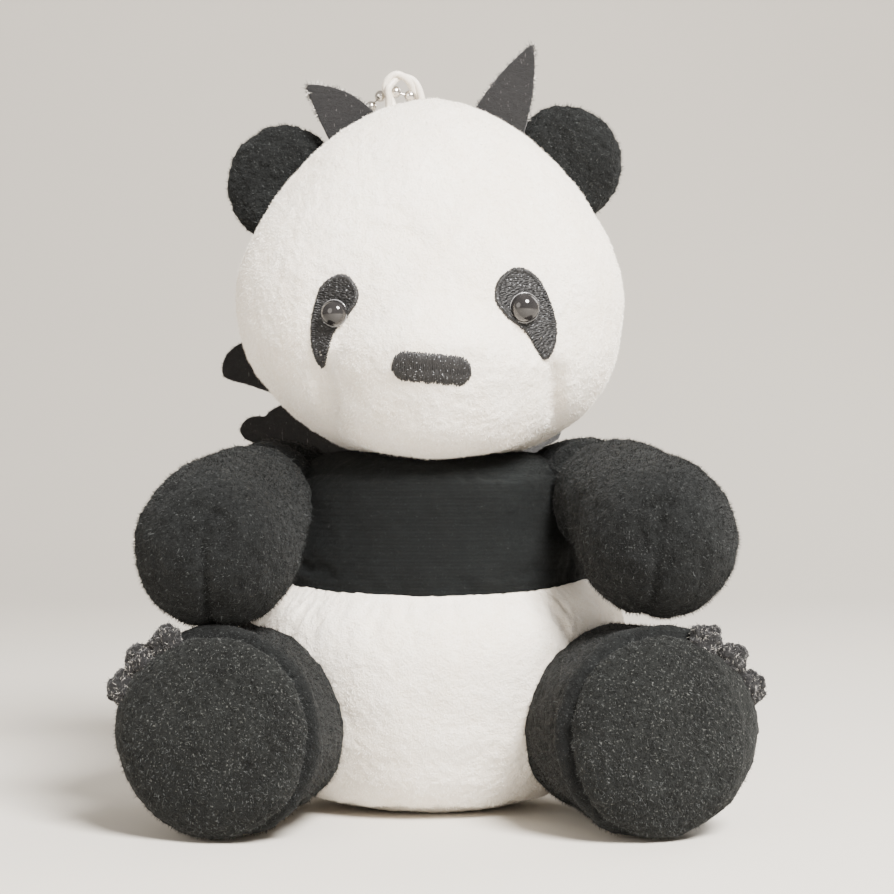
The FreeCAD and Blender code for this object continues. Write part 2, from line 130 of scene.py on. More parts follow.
def settle(obj):
    """Leaves the object at the origin with its place in its mesh, and its faces outwards."""
    only(obj)
    bpy.ops.object.transform_apply(location=True, rotation=True, scale=True)
    bpy.ops.object.mode_set(mode="EDIT")
    bpy.ops.mesh.select_all(action="SELECT")
    bpy.ops.mesh.normals_make_consistent(inside=False)
    bpy.ops.object.mode_set(mode="OBJECT")
    bpy.ops.object.shade_smooth()
    return obj


def to_length_one(rows):
    return rows / np.linalg.norm(rows, axis=1)[:, None]


def smoothstep(low, high, values):
    t = np.clip((values - low) / (high - low), 0, 1)
    return t * t * (3 - 2 * t)


def bell(values, centre, width):
    return np.exp(-(((values - centre) / width) ** 2))


# %% [markdown]
# Camera and light. The toy is seen level, from arm's length, with the camera at the height of its
# shoulders. Three large soft lamps and a pale world give an even studio light, the key from above and in
# front, so that the chin and the sides of the belly fall into shade.

# %% Camera, floor and lamps
CAMERA_PLACE = Vector((3.4, -420.0, 71.0)) * MM
FOCAL_PIXELS = 2100.0
FRAME_PIXELS = 894.0

camera_data = bpy.data.cameras.new("camera")
camera_data.sensor_width = 36.0
camera_data.lens = FOCAL_PIXELS / FRAME_PIXELS * camera_data.sensor_width
camera_data.clip_start = 0.01
camera = bpy.data.objects.new("camera", camera_data)
camera.location = CAMERA_PLACE
camera.rotation_euler = (math.radians(90), 0, 0)
bpy.context.collection.objects.link(camera)
bpy.context.scene.camera = camera

FLOOR_HALF = 1.6
SWEEP_START, SWEEP_RADIUS = 0.55, 0.5


def make_floor():
    """A pale floor that sweeps up behind the toy."""
    bpy.ops.object.select_all(action="DESELECT")
    bpy.ops.mesh.primitive_plane_add(size=2 * FLOOR_HALF, location=(0, SWEEP_START - FLOOR_HALF, 0))
    floor = named("floor")
    bpy.ops.object.mode_set(mode="EDIT")
    bpy.ops.mesh.select_all(action="DESELECT")
    bpy.ops.object.mode_set(mode="OBJECT")
    for edge in floor.data.edges:
        a, b = (floor.data.vertices[i].co.y for i in edge.vertices)
        edge.select = a > 0 and b > 0
    bpy.ops.object.mode_set(mode="EDIT")
    bpy.ops.mesh.select_mode(type="EDGE")
    steps = 8
    for i in range(steps):
        turn = math.pi / 2 * (i + 0.5) / steps
        length = SWEEP_RADIUS * math.pi / 2 / steps
        move = (0, length * math.cos(turn), length * math.sin(turn))
        bpy.ops.mesh.extrude_region_move(TRANSFORM_OT_translate={"value": move})
    bpy.ops.mesh.extrude_region_move(TRANSFORM_OT_translate={"value": (0, 0, FLOOR_HALF)})
    bpy.ops.object.mode_set(mode="OBJECT")
    settle(floor)
    return floor


floor = make_floor()


def lamp(name, place, size, power, colour, target=(0, 0, 0.07)):
    data = bpy.data.lights.new(name, "AREA")
    data.shape = "DISK"
    data.size = size
    data.energy = power
    data.color = colour
    obj = bpy.data.objects.new(name, data)
    obj.location = place
    obj.rotation_euler = (Vector(target) - Vector(place)).to_track_quat("-Z", "Y").to_euler()
    bpy.context.collection.objects.link(obj)
    return obj


lamp("key_lamp", (0.34, -0.60, 0.68), 0.34, 42.0, (1.0, 0.965, 0.915))
lamp("fill_lamp", (-0.60, -0.70, 0.35), 0.6, 4.0, (1.0, 0.93, 0.84))
lamp("rim_lamp", (0.55, 0.45, 0.55), 0.5, 4.0, (1.0, 0.98, 0.96))

world = bpy.data.worlds.new("studio")
bpy.context.scene.world = world
world.use_nodes = True
world.node_tree.nodes["Background"].inputs["Color"].default_value = (0.98, 0.91, 0.82, 1)
world.node_tree.nodes["Background"].inputs["Strength"].default_value = 0.55
print("camera lens", round(camera_data.lens, 2), "mm")


# %% [markdown]
# A finish is a small sum of noises. Field wraps one value in the shader, so that the sum can be written
# as plain arithmetic, and Finish makes a material and adds its other nodes.

# %% Shader arithmetic
class Field:
    """A number that varies over a surface. Arithmetic on it adds Math nodes."""

    def __init__(self, finish, socket):
        self.finish, self.socket = finish, socket

    def math(self, operation, first, second=0.0, clamp=False):
        settings = {"operation": operation, "use_clamp": clamp}
        return self.finish.add("ShaderNodeMath", settings, {0: first, 1: second})

    def __add__(self, other):
        return self.math("ADD", self, other)

    def __radd__(self, other):
        return self.math("ADD", other, self)

    def __sub__(self, other):
        return self.math("SUBTRACT", self, other)

    def __rsub__(self, other):
        return self.math("SUBTRACT", other, self)

    def __mul__(self, other):
        return self.math("MULTIPLY", self, other)

    def __rmul__(self, other):
        return self.math("MULTIPLY", other, self)

    def above(self, low, high):
        """0 below low and 1 above high, with an even slope between."""
        scaled = (self - low) * (1 / (high - low))
        return scaled.math("ADD", scaled, 0.0, clamp=True)


class Finish:
    """One material, built on the Principled shader."""

    def __init__(self, name, **constants):
        self.material = bpy.data.materials.new(name)
        self.material.use_nodes = True
        self.tree = self.material.node_tree
        self.shader = self.tree.nodes["Principled BSDF"]
        for key, value in constants.items():
            self.shader.inputs[key.replace("_", " ")].default_value = value

    def add(self, kind, settings=None, values=None, out=0):
        node = self.tree.nodes.new(kind)
        for key, value in (settings or {}).items():
            if key == "stops":
                ramp = node.color_ramp.elements
                for i, (place, colour) in enumerate(value):
                    stop = ramp[i] if i < 2 else ramp.new(place)
                    stop.position = place
                    stop.color = (*colour, 1)
            else:
                setattr(node, key, value)
        for key, value in (values or {}).items():
            self.put(node.inputs[key], value)
        return Field(self, node.outputs[out])

    def put(self, socket, value):
        if isinstance(value, Field):
            self.tree.links.new(value.socket, socket)
        elif isinstance(value, tuple) and len(value) == 3 and socket.type == "RGBA":
            socket.default_value = (*value, 1)
        else:
            socket.default_value = value

    def set(self, name, value):
        self.put(self.shader.inputs[name], value)
        return self

    def place(self):
        return self.add("ShaderNodeTexCoord", out="Object")

    def noise(self, size, detail=2.0, rough=0.5, stretch=(1, 1, 1)):
        """Noise whose grains are about size metres across, drawn out along an axis by stretch."""
        drawn_out = tuple(1 / share for share in stretch)
        where = self.add("ShaderNodeMapping", {}, {"Vector": self.place(), "Scale": drawn_out})
        return self.add("ShaderNodeTexNoise", {},
                        {"Vector": where, "Scale": 1 / size, "Detail": detail, "Roughness": rough})

    def blend(self, factor, first, second):
        return self.add("ShaderNodeMix", {"data_type": "RGBA"}, {0: factor, 6: first, 7: second}, 2)

    def bump(self, height, distance, strength=1.0):
        made = self.add("ShaderNodeBump", {}, {"Height": height, "Distance": distance, "Strength": strength})
        return self.set("Normal", made)


def wear(obj, finish):
    obj.data.materials.clear()
    obj.data.materials.append(finish.material)
    return obj


def finished(piece, finish, slot, *nodes, body=None, fill=None):
    """Gives a piece its finish, and says what it stands for and what it rides on. How full it is, fill, is not
    used.
    """
    wear(piece, finish)
    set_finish(piece, slot)
    if nodes:
        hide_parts(*nodes)
    if body:
        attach(piece, body)
    return piece


# %% [markdown]
# The plush is a knitted backing with a dense pile about a millimetre long. At this size single fibre tips just
# show as specks, painted in as glints; the pile lies over in patches, painted lighter as a painted sheen; and a
# soft sheen rims each shape. Tuft tops are painted lighter and the hollows darker, as painted shade, cream in
# the white.

# %% Plush finishes
def plush(name, deep, lit, glint_colour, grain, nub, height, sheen, sheen_tint, glints=0.5, ribs=0.0):
    """Pile: painted glints over brushed patches painted lighter as sheen; tuft tops painted lighter and hollows
    darker as painted shade. grain and nub are sizes in metres.
    """
    f = Finish(name, Roughness=0.92, Sheen_Weight=sheen, Sheen_Roughness=0.45, Sheen_Tint=(*sheen_tint, 1),
               Specular_IOR_Level=0.2)
    fibres = f.noise(grain, 3.0, 0.65)
    tufts = f.noise(nub, 2.0, 0.6)
    brushed = f.noise(8 * MM, 2.0, 0.5, stretch=(1, 1, 1.8))
    # The tone follows the relief: tuft and fibre tops are painted lighter and hollows darker (painted shade),
    # and brushed patches are painted lighter (painted sheen).
    tone_and_painted_shade = (0.35 * fibres.above(0.3, 0.7) + 0.35 * tufts.above(0.3, 0.7) + 0.3 * brushed.above(0.35, 0.65))
    relief = 0.5 * fibres + 0.5 * tufts
    if ribs:
        rows = f.add("ShaderNodeTexWave", {"wave_type": "BANDS", "bands_direction": "Z"},
                     {"Vector": f.place(), "Scale": 0.31 / (1.3 * MM), "Distortion": 5.0, "Detail": 2.0,
                      "Detail Scale": 0.25 / MM}, out=1)
        tone_and_painted_shade = tone_and_painted_shade * (1 - ribs) + ribs * rows
        relief = relief * 0.6 + 0.4 * rows
    colour = f.blend(tone_and_painted_shade, deep, lit)
    # Glints are painted highlights: fibre tips that catch the light, painted in the glint colour.
    glint = f.noise(grain * 0.8, 1.0, 0.5).above(0.64, 0.76)
    f.set("Base Color", f.blend(glint * glints, colour, glint_colour))
    f.bump(relief, height)
    return f


WHITE_PLUSH = plush("white_plush", (0.80, 0.72, 0.61), (0.94, 0.90, 0.84), (0.98, 0.96, 0.92),
                    0.4 * MM, 1.3 * MM, 0.55 * MM, 0.15, (1.0, 0.97, 0.93))
BLACK_PLUSH = plush("black_plush", (0.0006, 0.0008, 0.001), (0.0075, 0.0086, 0.0090), (0.06, 0.065, 0.066),
                    0.45 * MM, 1.5 * MM, 0.9 * MM, 0.05, (0.55, 0.58, 0.60), 0.6)
SOLE_PLUSH = plush("sole_plush", (0.0008, 0.001, 0.001), (0.0125, 0.014, 0.0138), (0.11, 0.115, 0.11),
                   0.5 * MM, 1.2 * MM, 1.0 * MM, 0.06, (0.6, 0.62, 0.63), 0.7)
BAND_PLUSH = plush("band_plush", (0.0003, 0.0005, 0.0008), (0.0022, 0.0036, 0.0044), (0.03, 0.036, 0.038),
                   0.45 * MM, 1.2 * MM, 0.5 * MM, 0.03, (0.5, 0.58, 0.58), 0.4, ribs=0.14)

floor_finish = Finish("pale_floor", Roughness=0.8)
floor_tone = floor_finish.noise(0.25, 2.0, 0.5)
floor_finish.set("Base Color", floor_finish.blend(floor_tone, (0.62, 0.59, 0.54), (0.65, 0.62, 0.57)))
wear(floor, floor_finish)


# %% [markdown]
# Every stuffed shape starts as a ball with even square faces: a cube, subdivided and pushed out to a
# sphere. Its points are then moved by a rule for the shape, as a maker eases a panel over a mould.

# %% Balls
def ball(name, cuts):
    """A ball of radius 1 with even faces, and its points."""
    bpy.ops.object.select_all(action="DESELECT")
    bpy.ops.mesh.primitive_cube_add(size=2, location=(0, 0, 0))
    obj = named(name)
    bpy.ops.object.mode_set(mode="EDIT")
    bpy.ops.mesh.select_all(action="SELECT")
    bpy.ops.mesh.subdivide(number_cuts=cuts)
    bpy.ops.transform.tosphere(value=1.0)
    bpy.ops.object.mode_set(mode="OBJECT")
    points = points_of(obj)
    return obj, points / np.linalg.norm(points, axis=1)[:, None]


def nap(obj, depth, size, seed):
    """Raises the pile into small tufts: a cloud pattern, with grains of one size, along the normals."""
    clouds = bpy.data.textures.new(obj.name + "_tufts", "CLOUDS")
    clouds.noise_scale = size
    clouds.noise_depth = 2
    shifted = bpy.data.objects.new(obj.name + "_shift", None)
    bpy.context.collection.objects.link(shifted)
    shifted.location = (seed * 0.013, seed * 0.007, seed * 0.011)
    bpy.context.view_layer.update()
    apply(obj, "DISPLACE", texture=clouds, strength=depth, mid_level=0.5, texture_coords="OBJECT",
          texture_coords_object=shifted)
    bpy.data.objects.remove(shifted)
    return obj


# %% [markdown]
# The head is an egg, flatter at the chin, with a muzzle that is a panel of its own: it stands a few
# millimetres proud and ends at each side in a dart that runs down from the eye patch. The seam over the
# crown is a shallow groove. It is made as one form, and cut in two at that seam.

# %% The head's form
HEAD_WIDTH, HEAD_DEPTH, HEAD_Y = 38.0, 31.0, -4.0
HEAD_LOW, HEAD_MID, HEAD_HIGH = 67.8, 99.0, 139.8
CROWN_Y = -1.5
MUZZLE_X, MUZZLE_RISE, DART_DEPTH = 1.0, 6.2, 2.6
MUZZLE_HEIGHTS = [66, 70, 76, 86, 90, 95, 101]
MUZZLE_HALF_WIDTHS = [15, 19, 20.6, 20.4, 17.0, 11.0, 4.0]
EYE_DENTS = ((-17.8, 96.0), (18.2, 96.6))
# Each fold of the forehead: its two ends as x and z, and its depth.
FOREHEAD_FOLDS = (((2.0, 105.5), (-13.0, 113.0), 0.7), ((-1.0, 109.5), (-12.0, 116.5), 0.45))


def muzzle_half_width(z):
    return np.interp(z, MUZZLE_HEIGHTS, MUZZLE_HALF_WIDTHS)


def head_points(unit):
    """Points of the head in millimetres, for points on a unit ball."""
    x, y, z = unit.T
    t = np.arcsin(np.clip(z, -1, 1))
    power = np.where(z < 0, 2.15, 1.73)
    reach = np.where(z < 0, HEAD_MID - HEAD_LOW, HEAD_HIGH - HEAD_MID)
    ring = np.abs(np.cos(t)) ** (2 / power)
    turn = np.arctan2(y, x)
    out = np.empty_like(unit)
    out[:, 0] = HEAD_WIDTH * ring * np.cos(turn)
    out[:, 1] = HEAD_Y + HEAD_DEPTH * ring * np.sin(turn)
    out[:, 2] = HEAD_MID + np.sign(z) * reach * np.abs(np.sin(t)) ** (2 / power)
    front = smoothstep(-8, -22, out[:, 1])
    height = out[:, 2]
    across = (out[:, 0] - MUZZLE_X) / muzzle_half_width(height)
    swell = np.clip(1 - across ** 2, 0, 1) ** 0.5
    upright = smoothstep(102, 88, height) * smoothstep(63, 76, height)
    out[:, 1] -= MUZZLE_RISE * front * swell * upright
    dart = bell(np.abs(across), 1.05, 0.10) * smoothstep(90, 83, height) * smoothstep(68, 78, height)
    out[:, 1] += DART_DEPTH * dart * front
    cheeks = bell(height, 84, 9) * smoothstep(1.0, 1.35, np.abs(across))
    out[:, 1] -= 0.9 * cheeks * front
    for eye_x, eye_z in EYE_DENTS:
        dent = bell(np.hypot(out[:, 0] - eye_x, height - eye_z), 0, 4.6)
        out[:, 1] += 1.1 * dent * front
    out[:, 0] += 1.5 * smoothstep(96, 76, height)
    out[:, 2] -= 2.6 * smoothstep(84, 72, height) * smoothstep(-14, -26, out[:, 1])
    out[:, 0] += 0.5 * bell(height, 106, 8) * np.sign(out[:, 0])
    for (low_x, low_z), (high_x, high_z), depth in FOREHEAD_FOLDS:
        run = np.array([high_x - low_x, high_z - low_z])
        length = np.hypot(*run)
        along = ((out[:, 0] - low_x) * run[0] + (height - low_z) * run[1]) / length
        off = ((out[:, 0] - low_x) * run[1] - (height - low_z) * run[0]) / length
        fold = bell(off + 0.04 * along ** 2 - 0.5 * along, 0, 1.1) * bell(along, length / 2, length / 2)
        out[:, 1] += depth * fold * front
    crease = bell(out[:, 1], CROWN_Y, 0.9)
    middle = np.array([0, HEAD_Y, HEAD_MID])
    away = out - middle
    out -= 0.6 * crease[:, None] * away / np.linalg.norm(away, axis=1)[:, None]
    return out


def cut_at(obj, place, normal, name, keep_below):
    """A copy of a closed form, cut flat at a plane and closed there."""
    only(obj)
    bpy.ops.object.duplicate()
    half = named(name)
    bpy.ops.object.mode_set(mode="EDIT")
    bpy.ops.mesh.select_all(action="SELECT")
    bpy.ops.mesh.bisect(plane_co=place, plane_no=normal, use_fill=True,
                        clear_outer=keep_below, clear_inner=not keep_below)
    bpy.ops.object.mode_set(mode="OBJECT")
    return half


def make_head():
    form, unit = ball("head_form", 60)
    set_mm(form, head_points(unit))
    refine(form)
    nap(form, 0.8 * MM, 7.0 * MM, 1)
    nap(form, 0.42 * MM, 1.2 * MM, 2)
    face = cut_at(form, (0, CROWN_Y * MM, 0), (0, 1, 0), "head_face_plush", True)
    back = cut_at(form, (0, CROWN_Y * MM, 0), (0, 1, 0), "head_back_plush", False)
    for half, nodes in ((face, ("face_panel", "head_stuffing")), (back, ("head_back_panel",))):
        finished(settle(half), WHITE_PLUSH, "white_plush", *nodes, body="head", fill=0.9)
    return form, face, back


head_form, head_face, head_back = make_head()
print("head", len(head_face.data.polygons) + len(head_back.data.polygons), "faces")


# %% [markdown]
# Fabric that is filled puckers where it is sewn. The torso and each limb are therefore run through a short
# cloth simulation: the sewn lines are held, the fabric is cut a little too large, and pressure blows it out.
# The toy is simulated at ten times its size, where the solver's steps suit it, and no point may move far.

# %% Filling the fabric
SIM_SCALE = 10.0


def fill_out(obj, held, spare=0.07, most=1.8 * MM, frames=20):
    """Blows up a closed skin whose points are held by a weight of 0 (free) to 1 (sewn)."""
    rest = points_of(obj)
    set_points(obj, rest * SIM_SCALE)
    group = obj.vertex_groups.new(name="sewn")
    for index in np.flatnonzero(held > 0.05):
        group.add([int(index)], float(held[index]), "REPLACE")
    only(obj)
    cloth = obj.modifiers.new("Cloth", "CLOTH")
    fabric = cloth.settings
    fabric.quality = 4
    fabric.mass = 0.3
    fabric.vertex_group_mass = "sewn"
    fabric.tension_stiffness = 25
    fabric.compression_stiffness = 8
    fabric.shear_stiffness = 5
    fabric.bending_stiffness = 0.6
    fabric.shrink_min = -spare
    fabric.use_pressure = True
    fabric.uniform_pressure_force = 4.0
    fabric.effector_weights.gravity = 0
    cloth.point_cache.frame_start = 1
    cloth.point_cache.frame_end = frames
    for step in range(1, frames + 1):
        bpy.context.scene.frame_set(step)
    seen = obj.evaluated_get(bpy.context.evaluated_depsgraph_get())
    filled = np.empty(len(seen.data.vertices) * 3)
    seen.data.vertices.foreach_get("co", filled)
    obj.modifiers.remove(cloth)
    obj.vertex_groups.remove(group)
    bpy.context.scene.frame_set(1)
    move = filled.reshape(-1, 3) / SIM_SCALE - rest
    length = np.linalg.norm(move, axis=1)[:, None] + 1e-9
    set_points(obj, rest + move / length * most * np.tanh(length / most))
    return obj


# %% [markdown]
# The torso is a pear, widest low down, where it bulges over the legs. The black chest and the white belly
# are separate panels that meet in a seam, which pulls both of them in.

# %% The torso's panels
# The pear's outline from the seat up: radius and height.
PEAR = [(0, 0), (9, 0.0), (17, 0.4), (24, 3.2), (29, 8.5), (33.3, 16), (36.2, 25), (37.2, 33), (36.4, 39),
        (33.4, 43.2), (30.4, 48), (28.9, 55), (28.3, 62), (26.6, 67.0), (22.0, 69.6), (15, 70.4), (8, 70.5),
        (0, 70.5)]
TORSO_DEPTH = 0.86
BAND_Z, BAND_RISE = 43.2, 1.6


def pear_points(unit):
    """The pear's outline is followed by length, so that its faces stay even."""
    outline = np.array(PEAR, float)
    steps = np.r_[0, np.cumsum(np.linalg.norm(np.diff(outline, axis=0), axis=1))]
    along = (np.arcsin(np.clip(unit[:, 2], -1, 1)) / math.pi + 0.5) * steps[-1]
    radius = np.interp(along, steps, outline[:, 0])
    height = np.interp(along, steps, outline[:, 1])
    turn = np.arctan2(unit[:, 1], unit[:, 0])
    return np.stack([radius * np.cos(turn), radius * np.sin(turn) * TORSO_DEPTH, height], axis=1)


def band_height(x):
    return BAND_Z + BAND_RISE * (np.abs(x) / 30) ** 2


def make_torso():
    form, unit = ball("torso_form", 54)
    set_mm(form, pear_points(unit))
    apply(form, "SMOOTH", factor=0.5, iterations=12)
    points = mm_points(form)
    seam = band_height(points[:, 0])
    inwards = 1.0 * bell(points[:, 2], seam, 1.0)
    inwards -= 0.9 * smoothstep(0, -7, points[:, 2] - seam) * smoothstep(20, 34, points[:, 2])
    for side in (-27.0, 27.4):
        inwards += 0.7 * bell(points[:, 0], side, 0.9) * (points[:, 1] < 0) * (points[:, 2] > seam)
    inwards += 0.5 * bell(points[:, 0], 0, 0.9) * (points[:, 1] > 0)
    level = np.hypot(points[:, 0], points[:, 1])[:, None] + 1e-6
    points[:, :2] -= inwards[:, None] * points[:, :2] / level
    held = bell(points[:, 2], seam, 1.8) + smoothstep(3, 0.5, points[:, 2]) + smoothstep(64, 68, points[:, 2])
    set_mm(form, points)
    fill_out(form, np.clip(held, 0, 1), most=1.2 * MM)
    points = mm_points(form)
    # The band's edge is curved, so the points are sheared to make it flat, cut, and sheared back.
    points[:, 2] -= band_height(points[:, 0]) - BAND_Z
    points[:, 2] = np.maximum(points[:, 2], -2)
    set_mm(form, points)
    refine(form)
    chest = cut_at(form, (0, 0, BAND_Z * MM), (0, 0, 1), "chest_plush", False)
    belly = cut_at(form, (0, 0, BAND_Z * MM), (0, 0, 1), "belly_plush", True)
    for part in (chest, belly):
        points = mm_points(part)
        points[:, 2] += band_height(points[:, 0]) - BAND_Z
        points[:, 2] = np.maximum(points[:, 2], 0.0)
        set_mm(part, points)
        settle(part)
    bpy.data.objects.remove(form)
    nap(belly, 0.8 * MM, 8.0 * MM, 3)
    nap(belly, 0.42 * MM, 1.2 * MM, 4)
    nap(chest, 0.8 * MM, 6.0 * MM, 5)
    nap(chest, 0.3 * MM, 1.0 * MM, 6)
    finished(chest, BAND_PLUSH, "black_plush", "chest_panel", "upper_back_panel", "torso_stuffing", "neck_seam",
             body="torso", fill=0.8)
    finished(belly, WHITE_PLUSH, "white_plush", "belly_panel", "lower_back_panel", body="torso", fill=0.8)
    return chest, belly


chest, belly = make_torso()
print("torso", len(chest.data.polygons) + len(belly.data.polygons), "faces")


# %% [markdown]
# A limb is a tube of plush that swells to a round end. It is blocked out as a row of overlapping balls,
# skinned with a voxel remesh, and smoothed, which gives even faces all over and no poles.

# %% Limbs from a row of balls
def row_of_balls(name, stations, count, voxel, smooth=14):
    """stations is [(x, y, z, radius), ...] in millimetres. Balls between them follow a smooth line."""
    stations = np.array(stations, float)
    at = np.linspace(0, len(stations) - 1, count)
    rows = np.stack([np.interp(at, range(len(stations)), column) for column in stations.T], axis=1)
    bpy.ops.object.select_all(action="DESELECT")
    balls = []
    for x, y, z, radius in rows * MM:
        bpy.ops.mesh.primitive_uv_sphere_add(segments=40, ring_count=20, radius=radius, location=(x, y, z))
        balls.append(bpy.context.object)
    for obj in balls:
        obj.select_set(True)
    bpy.ops.object.join()
    obj = named(name)
    bpy.ops.object.transform_apply(location=True, rotation=True, scale=True)
    apply(obj, "REMESH", mode="VOXEL", voxel_size=voxel)
    apply(obj, "SMOOTH", factor=0.5, iterations=smooth)
    return obj


# Places along each arm, from the shoulder to the paw, with the radius there.
ARM_STATIONS = {
    "left": [(-27.0, 1.0, 63.0, 9.0), (-31.3, -5.0, 62.3, 10.2), (-35.2, -17.0, 58.8, 11.6),
             (-38.3, -28.0, 54.6, 13.9), (-39.0, -32.4, 52.6, 14.5)],
    "right": [(27.0, 1.0, 63.0, 9.0), (31.3, -5.0, 62.6, 10.2), (36.5, -16.0, 60.2, 11.5),
              (41.0, -28.0, 55.9, 13.6), (42.0, -31.6, 54.2, 14.2)],
}


def make_arm(side):
    sign = SIGN[side]
    arm = row_of_balls(f"arm_{side}_plush", ARM_STATIONS[side], 13, 1.1 * MM)
    points = mm_points(arm)
    normals = normals_of(arm)
    # A seam runs under the arm, and the wrist has a soft fold across its top.
    middle = np.array(ARM_STATIONS[side][2][:3])
    from_seam = points[:, 0] - middle[0] + 0.1 * sign * points[:, 1]
    wrist_y = -15.5 + 0.12 * points[:, 0] * sign
    inwards = 0.5 * bell(from_seam, 0, 0.9) * (points[:, 2] < middle[2])
    inwards += 2.2 * bell(points[:, 1], wrist_y, 2.0) * smoothstep(53, 64, points[:, 2])
    inwards += 1.2 * bell(points[:, 1], -6.0, 1.6) * smoothstep(52, 66, points[:, 2])
    set_mm(arm, points - normals * inwards[:, None])
    held = bell(points[:, 1], wrist_y, 1.3) * smoothstep(53, 64, points[:, 2])
    held += smoothstep(-5, 1, points[:, 1]) + bell(from_seam, 0, 1.0) * (points[:, 2] < middle[2])
    fill_out(arm, np.clip(held, 0, 1))
    refine(arm)
    nap(arm, 1.3 * MM, 9.0 * MM, 10 + sign)
    nap(arm, 0.75 * MM, 1.7 * MM, 20 + sign)
    return finished(settle(arm), BLACK_PLUSH, "black_plush", f"arm_{side}", f"arm_stuffing_{side}", fill=0.75)


arms = {side: make_arm(side) for side in SIGN}
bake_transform(arms["left"])
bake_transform(arms["right"])
print("arms", [len(arm.data.polygons) for arm in arms.values()])

# %% [markdown]
# A leg widens towards the foot, where a separate round sole, cut from a rougher piece of the plush, closes
# it. The seam between the two is pulled tight, so the sole stands up as a cushion inside its rim.

# %% Legs and soles
LEGS = {"left": {"hip": (-29.0, -3.0, 19.2), "splay": 14.0},
        "right": {"hip": (29.5, -3.0, 19.2), "splay": 18.5}}
LEG_LENGTH, FOOT_RADIUS, FOOT_Z = 43.0, 19.0, 19.0
SOLE_SUNK, SOLE_FRONT, SOLE_BACK = 1.9, 6.0, 2.5
# Shares of the way from hip to foot, with the radius and the lift there.
LEG_STATIONS = ((-0.10, 14.5, 0.0), (0.15, 16.6, 0.3), (0.45, 17.3, -0.3), (0.75, 18.3, 0.0), (1.06, 18.6, 0.2))


def leg_line(side):
    sign = SIGN[side]
    splay = math.radians(LEGS[side]["splay"])
    hip = np.array(LEGS[side]["hip"])
    along = np.array([sign * math.sin(splay), -math.cos(splay), 0.0])
    foot = hip + along * LEG_LENGTH
    foot[2] = FOOT_Z
    return hip, foot, along


def make_leg(side):
    sign = SIGN[side]
    hip, foot, along = leg_line(side)
    stations = []
    for share, radius, lift in LEG_STATIONS:
        place = hip + (foot - hip) * share
        stations.append((*(place + [0, 0, lift]), radius))
    form = row_of_balls(f"leg_{side}_form", stations, 14, 1.2 * MM)
    seam_place = foot - along * 2.2
    leg = cut_at(form, tuple(seam_place * MM), tuple(along), f"leg_{side}_plush", True)
    bpy.data.objects.remove(form)
    points = mm_points(leg)
    depth = (points - seam_place) @ along
    centre = foot + np.outer(depth, along) - along * 2.2
    out = points - centre
    reach = np.linalg.norm(out, axis=1)[:, None] + 1e-6
    tuck = 1.4 * bell(depth, 0.0, 1.6) * (reach[:, 0] > 12)
    rim = 0.5 * bell(depth, -4.0, 2.2)
    points += (rim - tuck)[:, None] * out / reach
    points[:, 2] = np.maximum(points[:, 2], 0.15)
    set_mm(leg, points)
    held = smoothstep(-2.2, -0.6, depth) + smoothstep(-30, -38, depth) + smoothstep(2.0, 0.5, points[:, 2])
    fill_out(leg, np.clip(held, 0, 1))
    points = mm_points(leg)
    points[:, 2] = np.maximum(points[:, 2], 0.15)
    set_mm(leg, points)
    refine(leg)
    nap(leg, 1.2 * MM, 9.0 * MM, 30 + sign)
    nap(leg, 0.6 * MM, 1.7 * MM, 34 + sign)
    finished(settle(leg), BLACK_PLUSH, "black_plush", f"leg_{side}", f"leg_stuffing_{side}", fill=0.8)
    sole, unit = ball(f"sole_{side}_plush", 28)
    across = np.array([along[1], -along[0], 0.0]) * -1
    disc = np.hypot(unit[:, 0], unit[:, 2])
    flat = np.sign(-unit[:, 1]) * np.clip(1 - disc ** 2.6, 0, 1) ** 0.55
    wobble = 1 + 0.018 * np.sin(3 * np.arctan2(unit[:, 2], unit[:, 0]) + sign)
    radius = (FOOT_RADIUS - 0.9) * wobble
    points = foot - along * SOLE_SUNK + np.outer(unit[:, 0] * radius, across)
    points += np.outer(unit[:, 2] * radius, [0, 0, 1])
    points += np.outer(np.where(flat > 0, SOLE_FRONT, SOLE_BACK) * flat, along)
    points[:, 2] = np.maximum(points[:, 2], 0.1)
    set_mm(sole, points)
    refine(sole)
    nap(sole, 1.0 * MM, 8.0 * MM, 38 + sign)
    nap(sole, 0.7 * MM, 1.2 * MM, 42 + sign)
    return leg, finished(settle(sole), SOLE_PLUSH, "sole_plush", f"sole_{side}", body=f"leg_{side}", fill=0.85)


legs = {side: make_leg(side) for side in SIGN}
for side, (leg, sole) in legs.items():
    sign = SIGN[side]
    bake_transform(leg)
print("legs", [len(leg.data.polygons) for leg, _ in legs.values()])

# %% [markdown]
# The ears are thick half-discs of the black plush, sewn just behind the crown seam. Each is a flattened
# ball whose front is slightly dished and whose rim is a seam.

# %% Ears
EAR_CENTRES = {"left": (-29.4, 3.5, 124.0), "right": (27.2, 3.5, 128.0)}
EAR_HALF = (11.6, 5.0, 12.0)


def make_ear(side):
    sign = SIGN[side]
    ear, unit = ball(f"ear_{side}_plush", 30)
    points = unit * np.array(EAR_HALF)
    disc = np.hypot(unit[:, 0], unit[:, 2])
    dish = 1.6 * bell(disc, 0, 0.55) * (unit[:, 1] < 0)
    points[:, 1] += dish
    points[:, :] *= (1 - 0.05 * bell(unit[:, 1], 0, 0.12))[:, None]
    set_mm(ear, points + np.array(EAR_CENTRES[side]))
    refine(ear)
    nap(ear, 1.0 * MM, 6.0 * MM, 50 + sign)
    nap(ear, 0.7 * MM, 1.4 * MM, 54 + sign)
    return finished(settle(ear), BLACK_PLUSH, "black_plush", f"ear_{side}", f"ear_stuffing_{side}",
                    body=f"ear_{side}", fill=0.7)


ears = {side: make_ear(side) for side in SIGN}

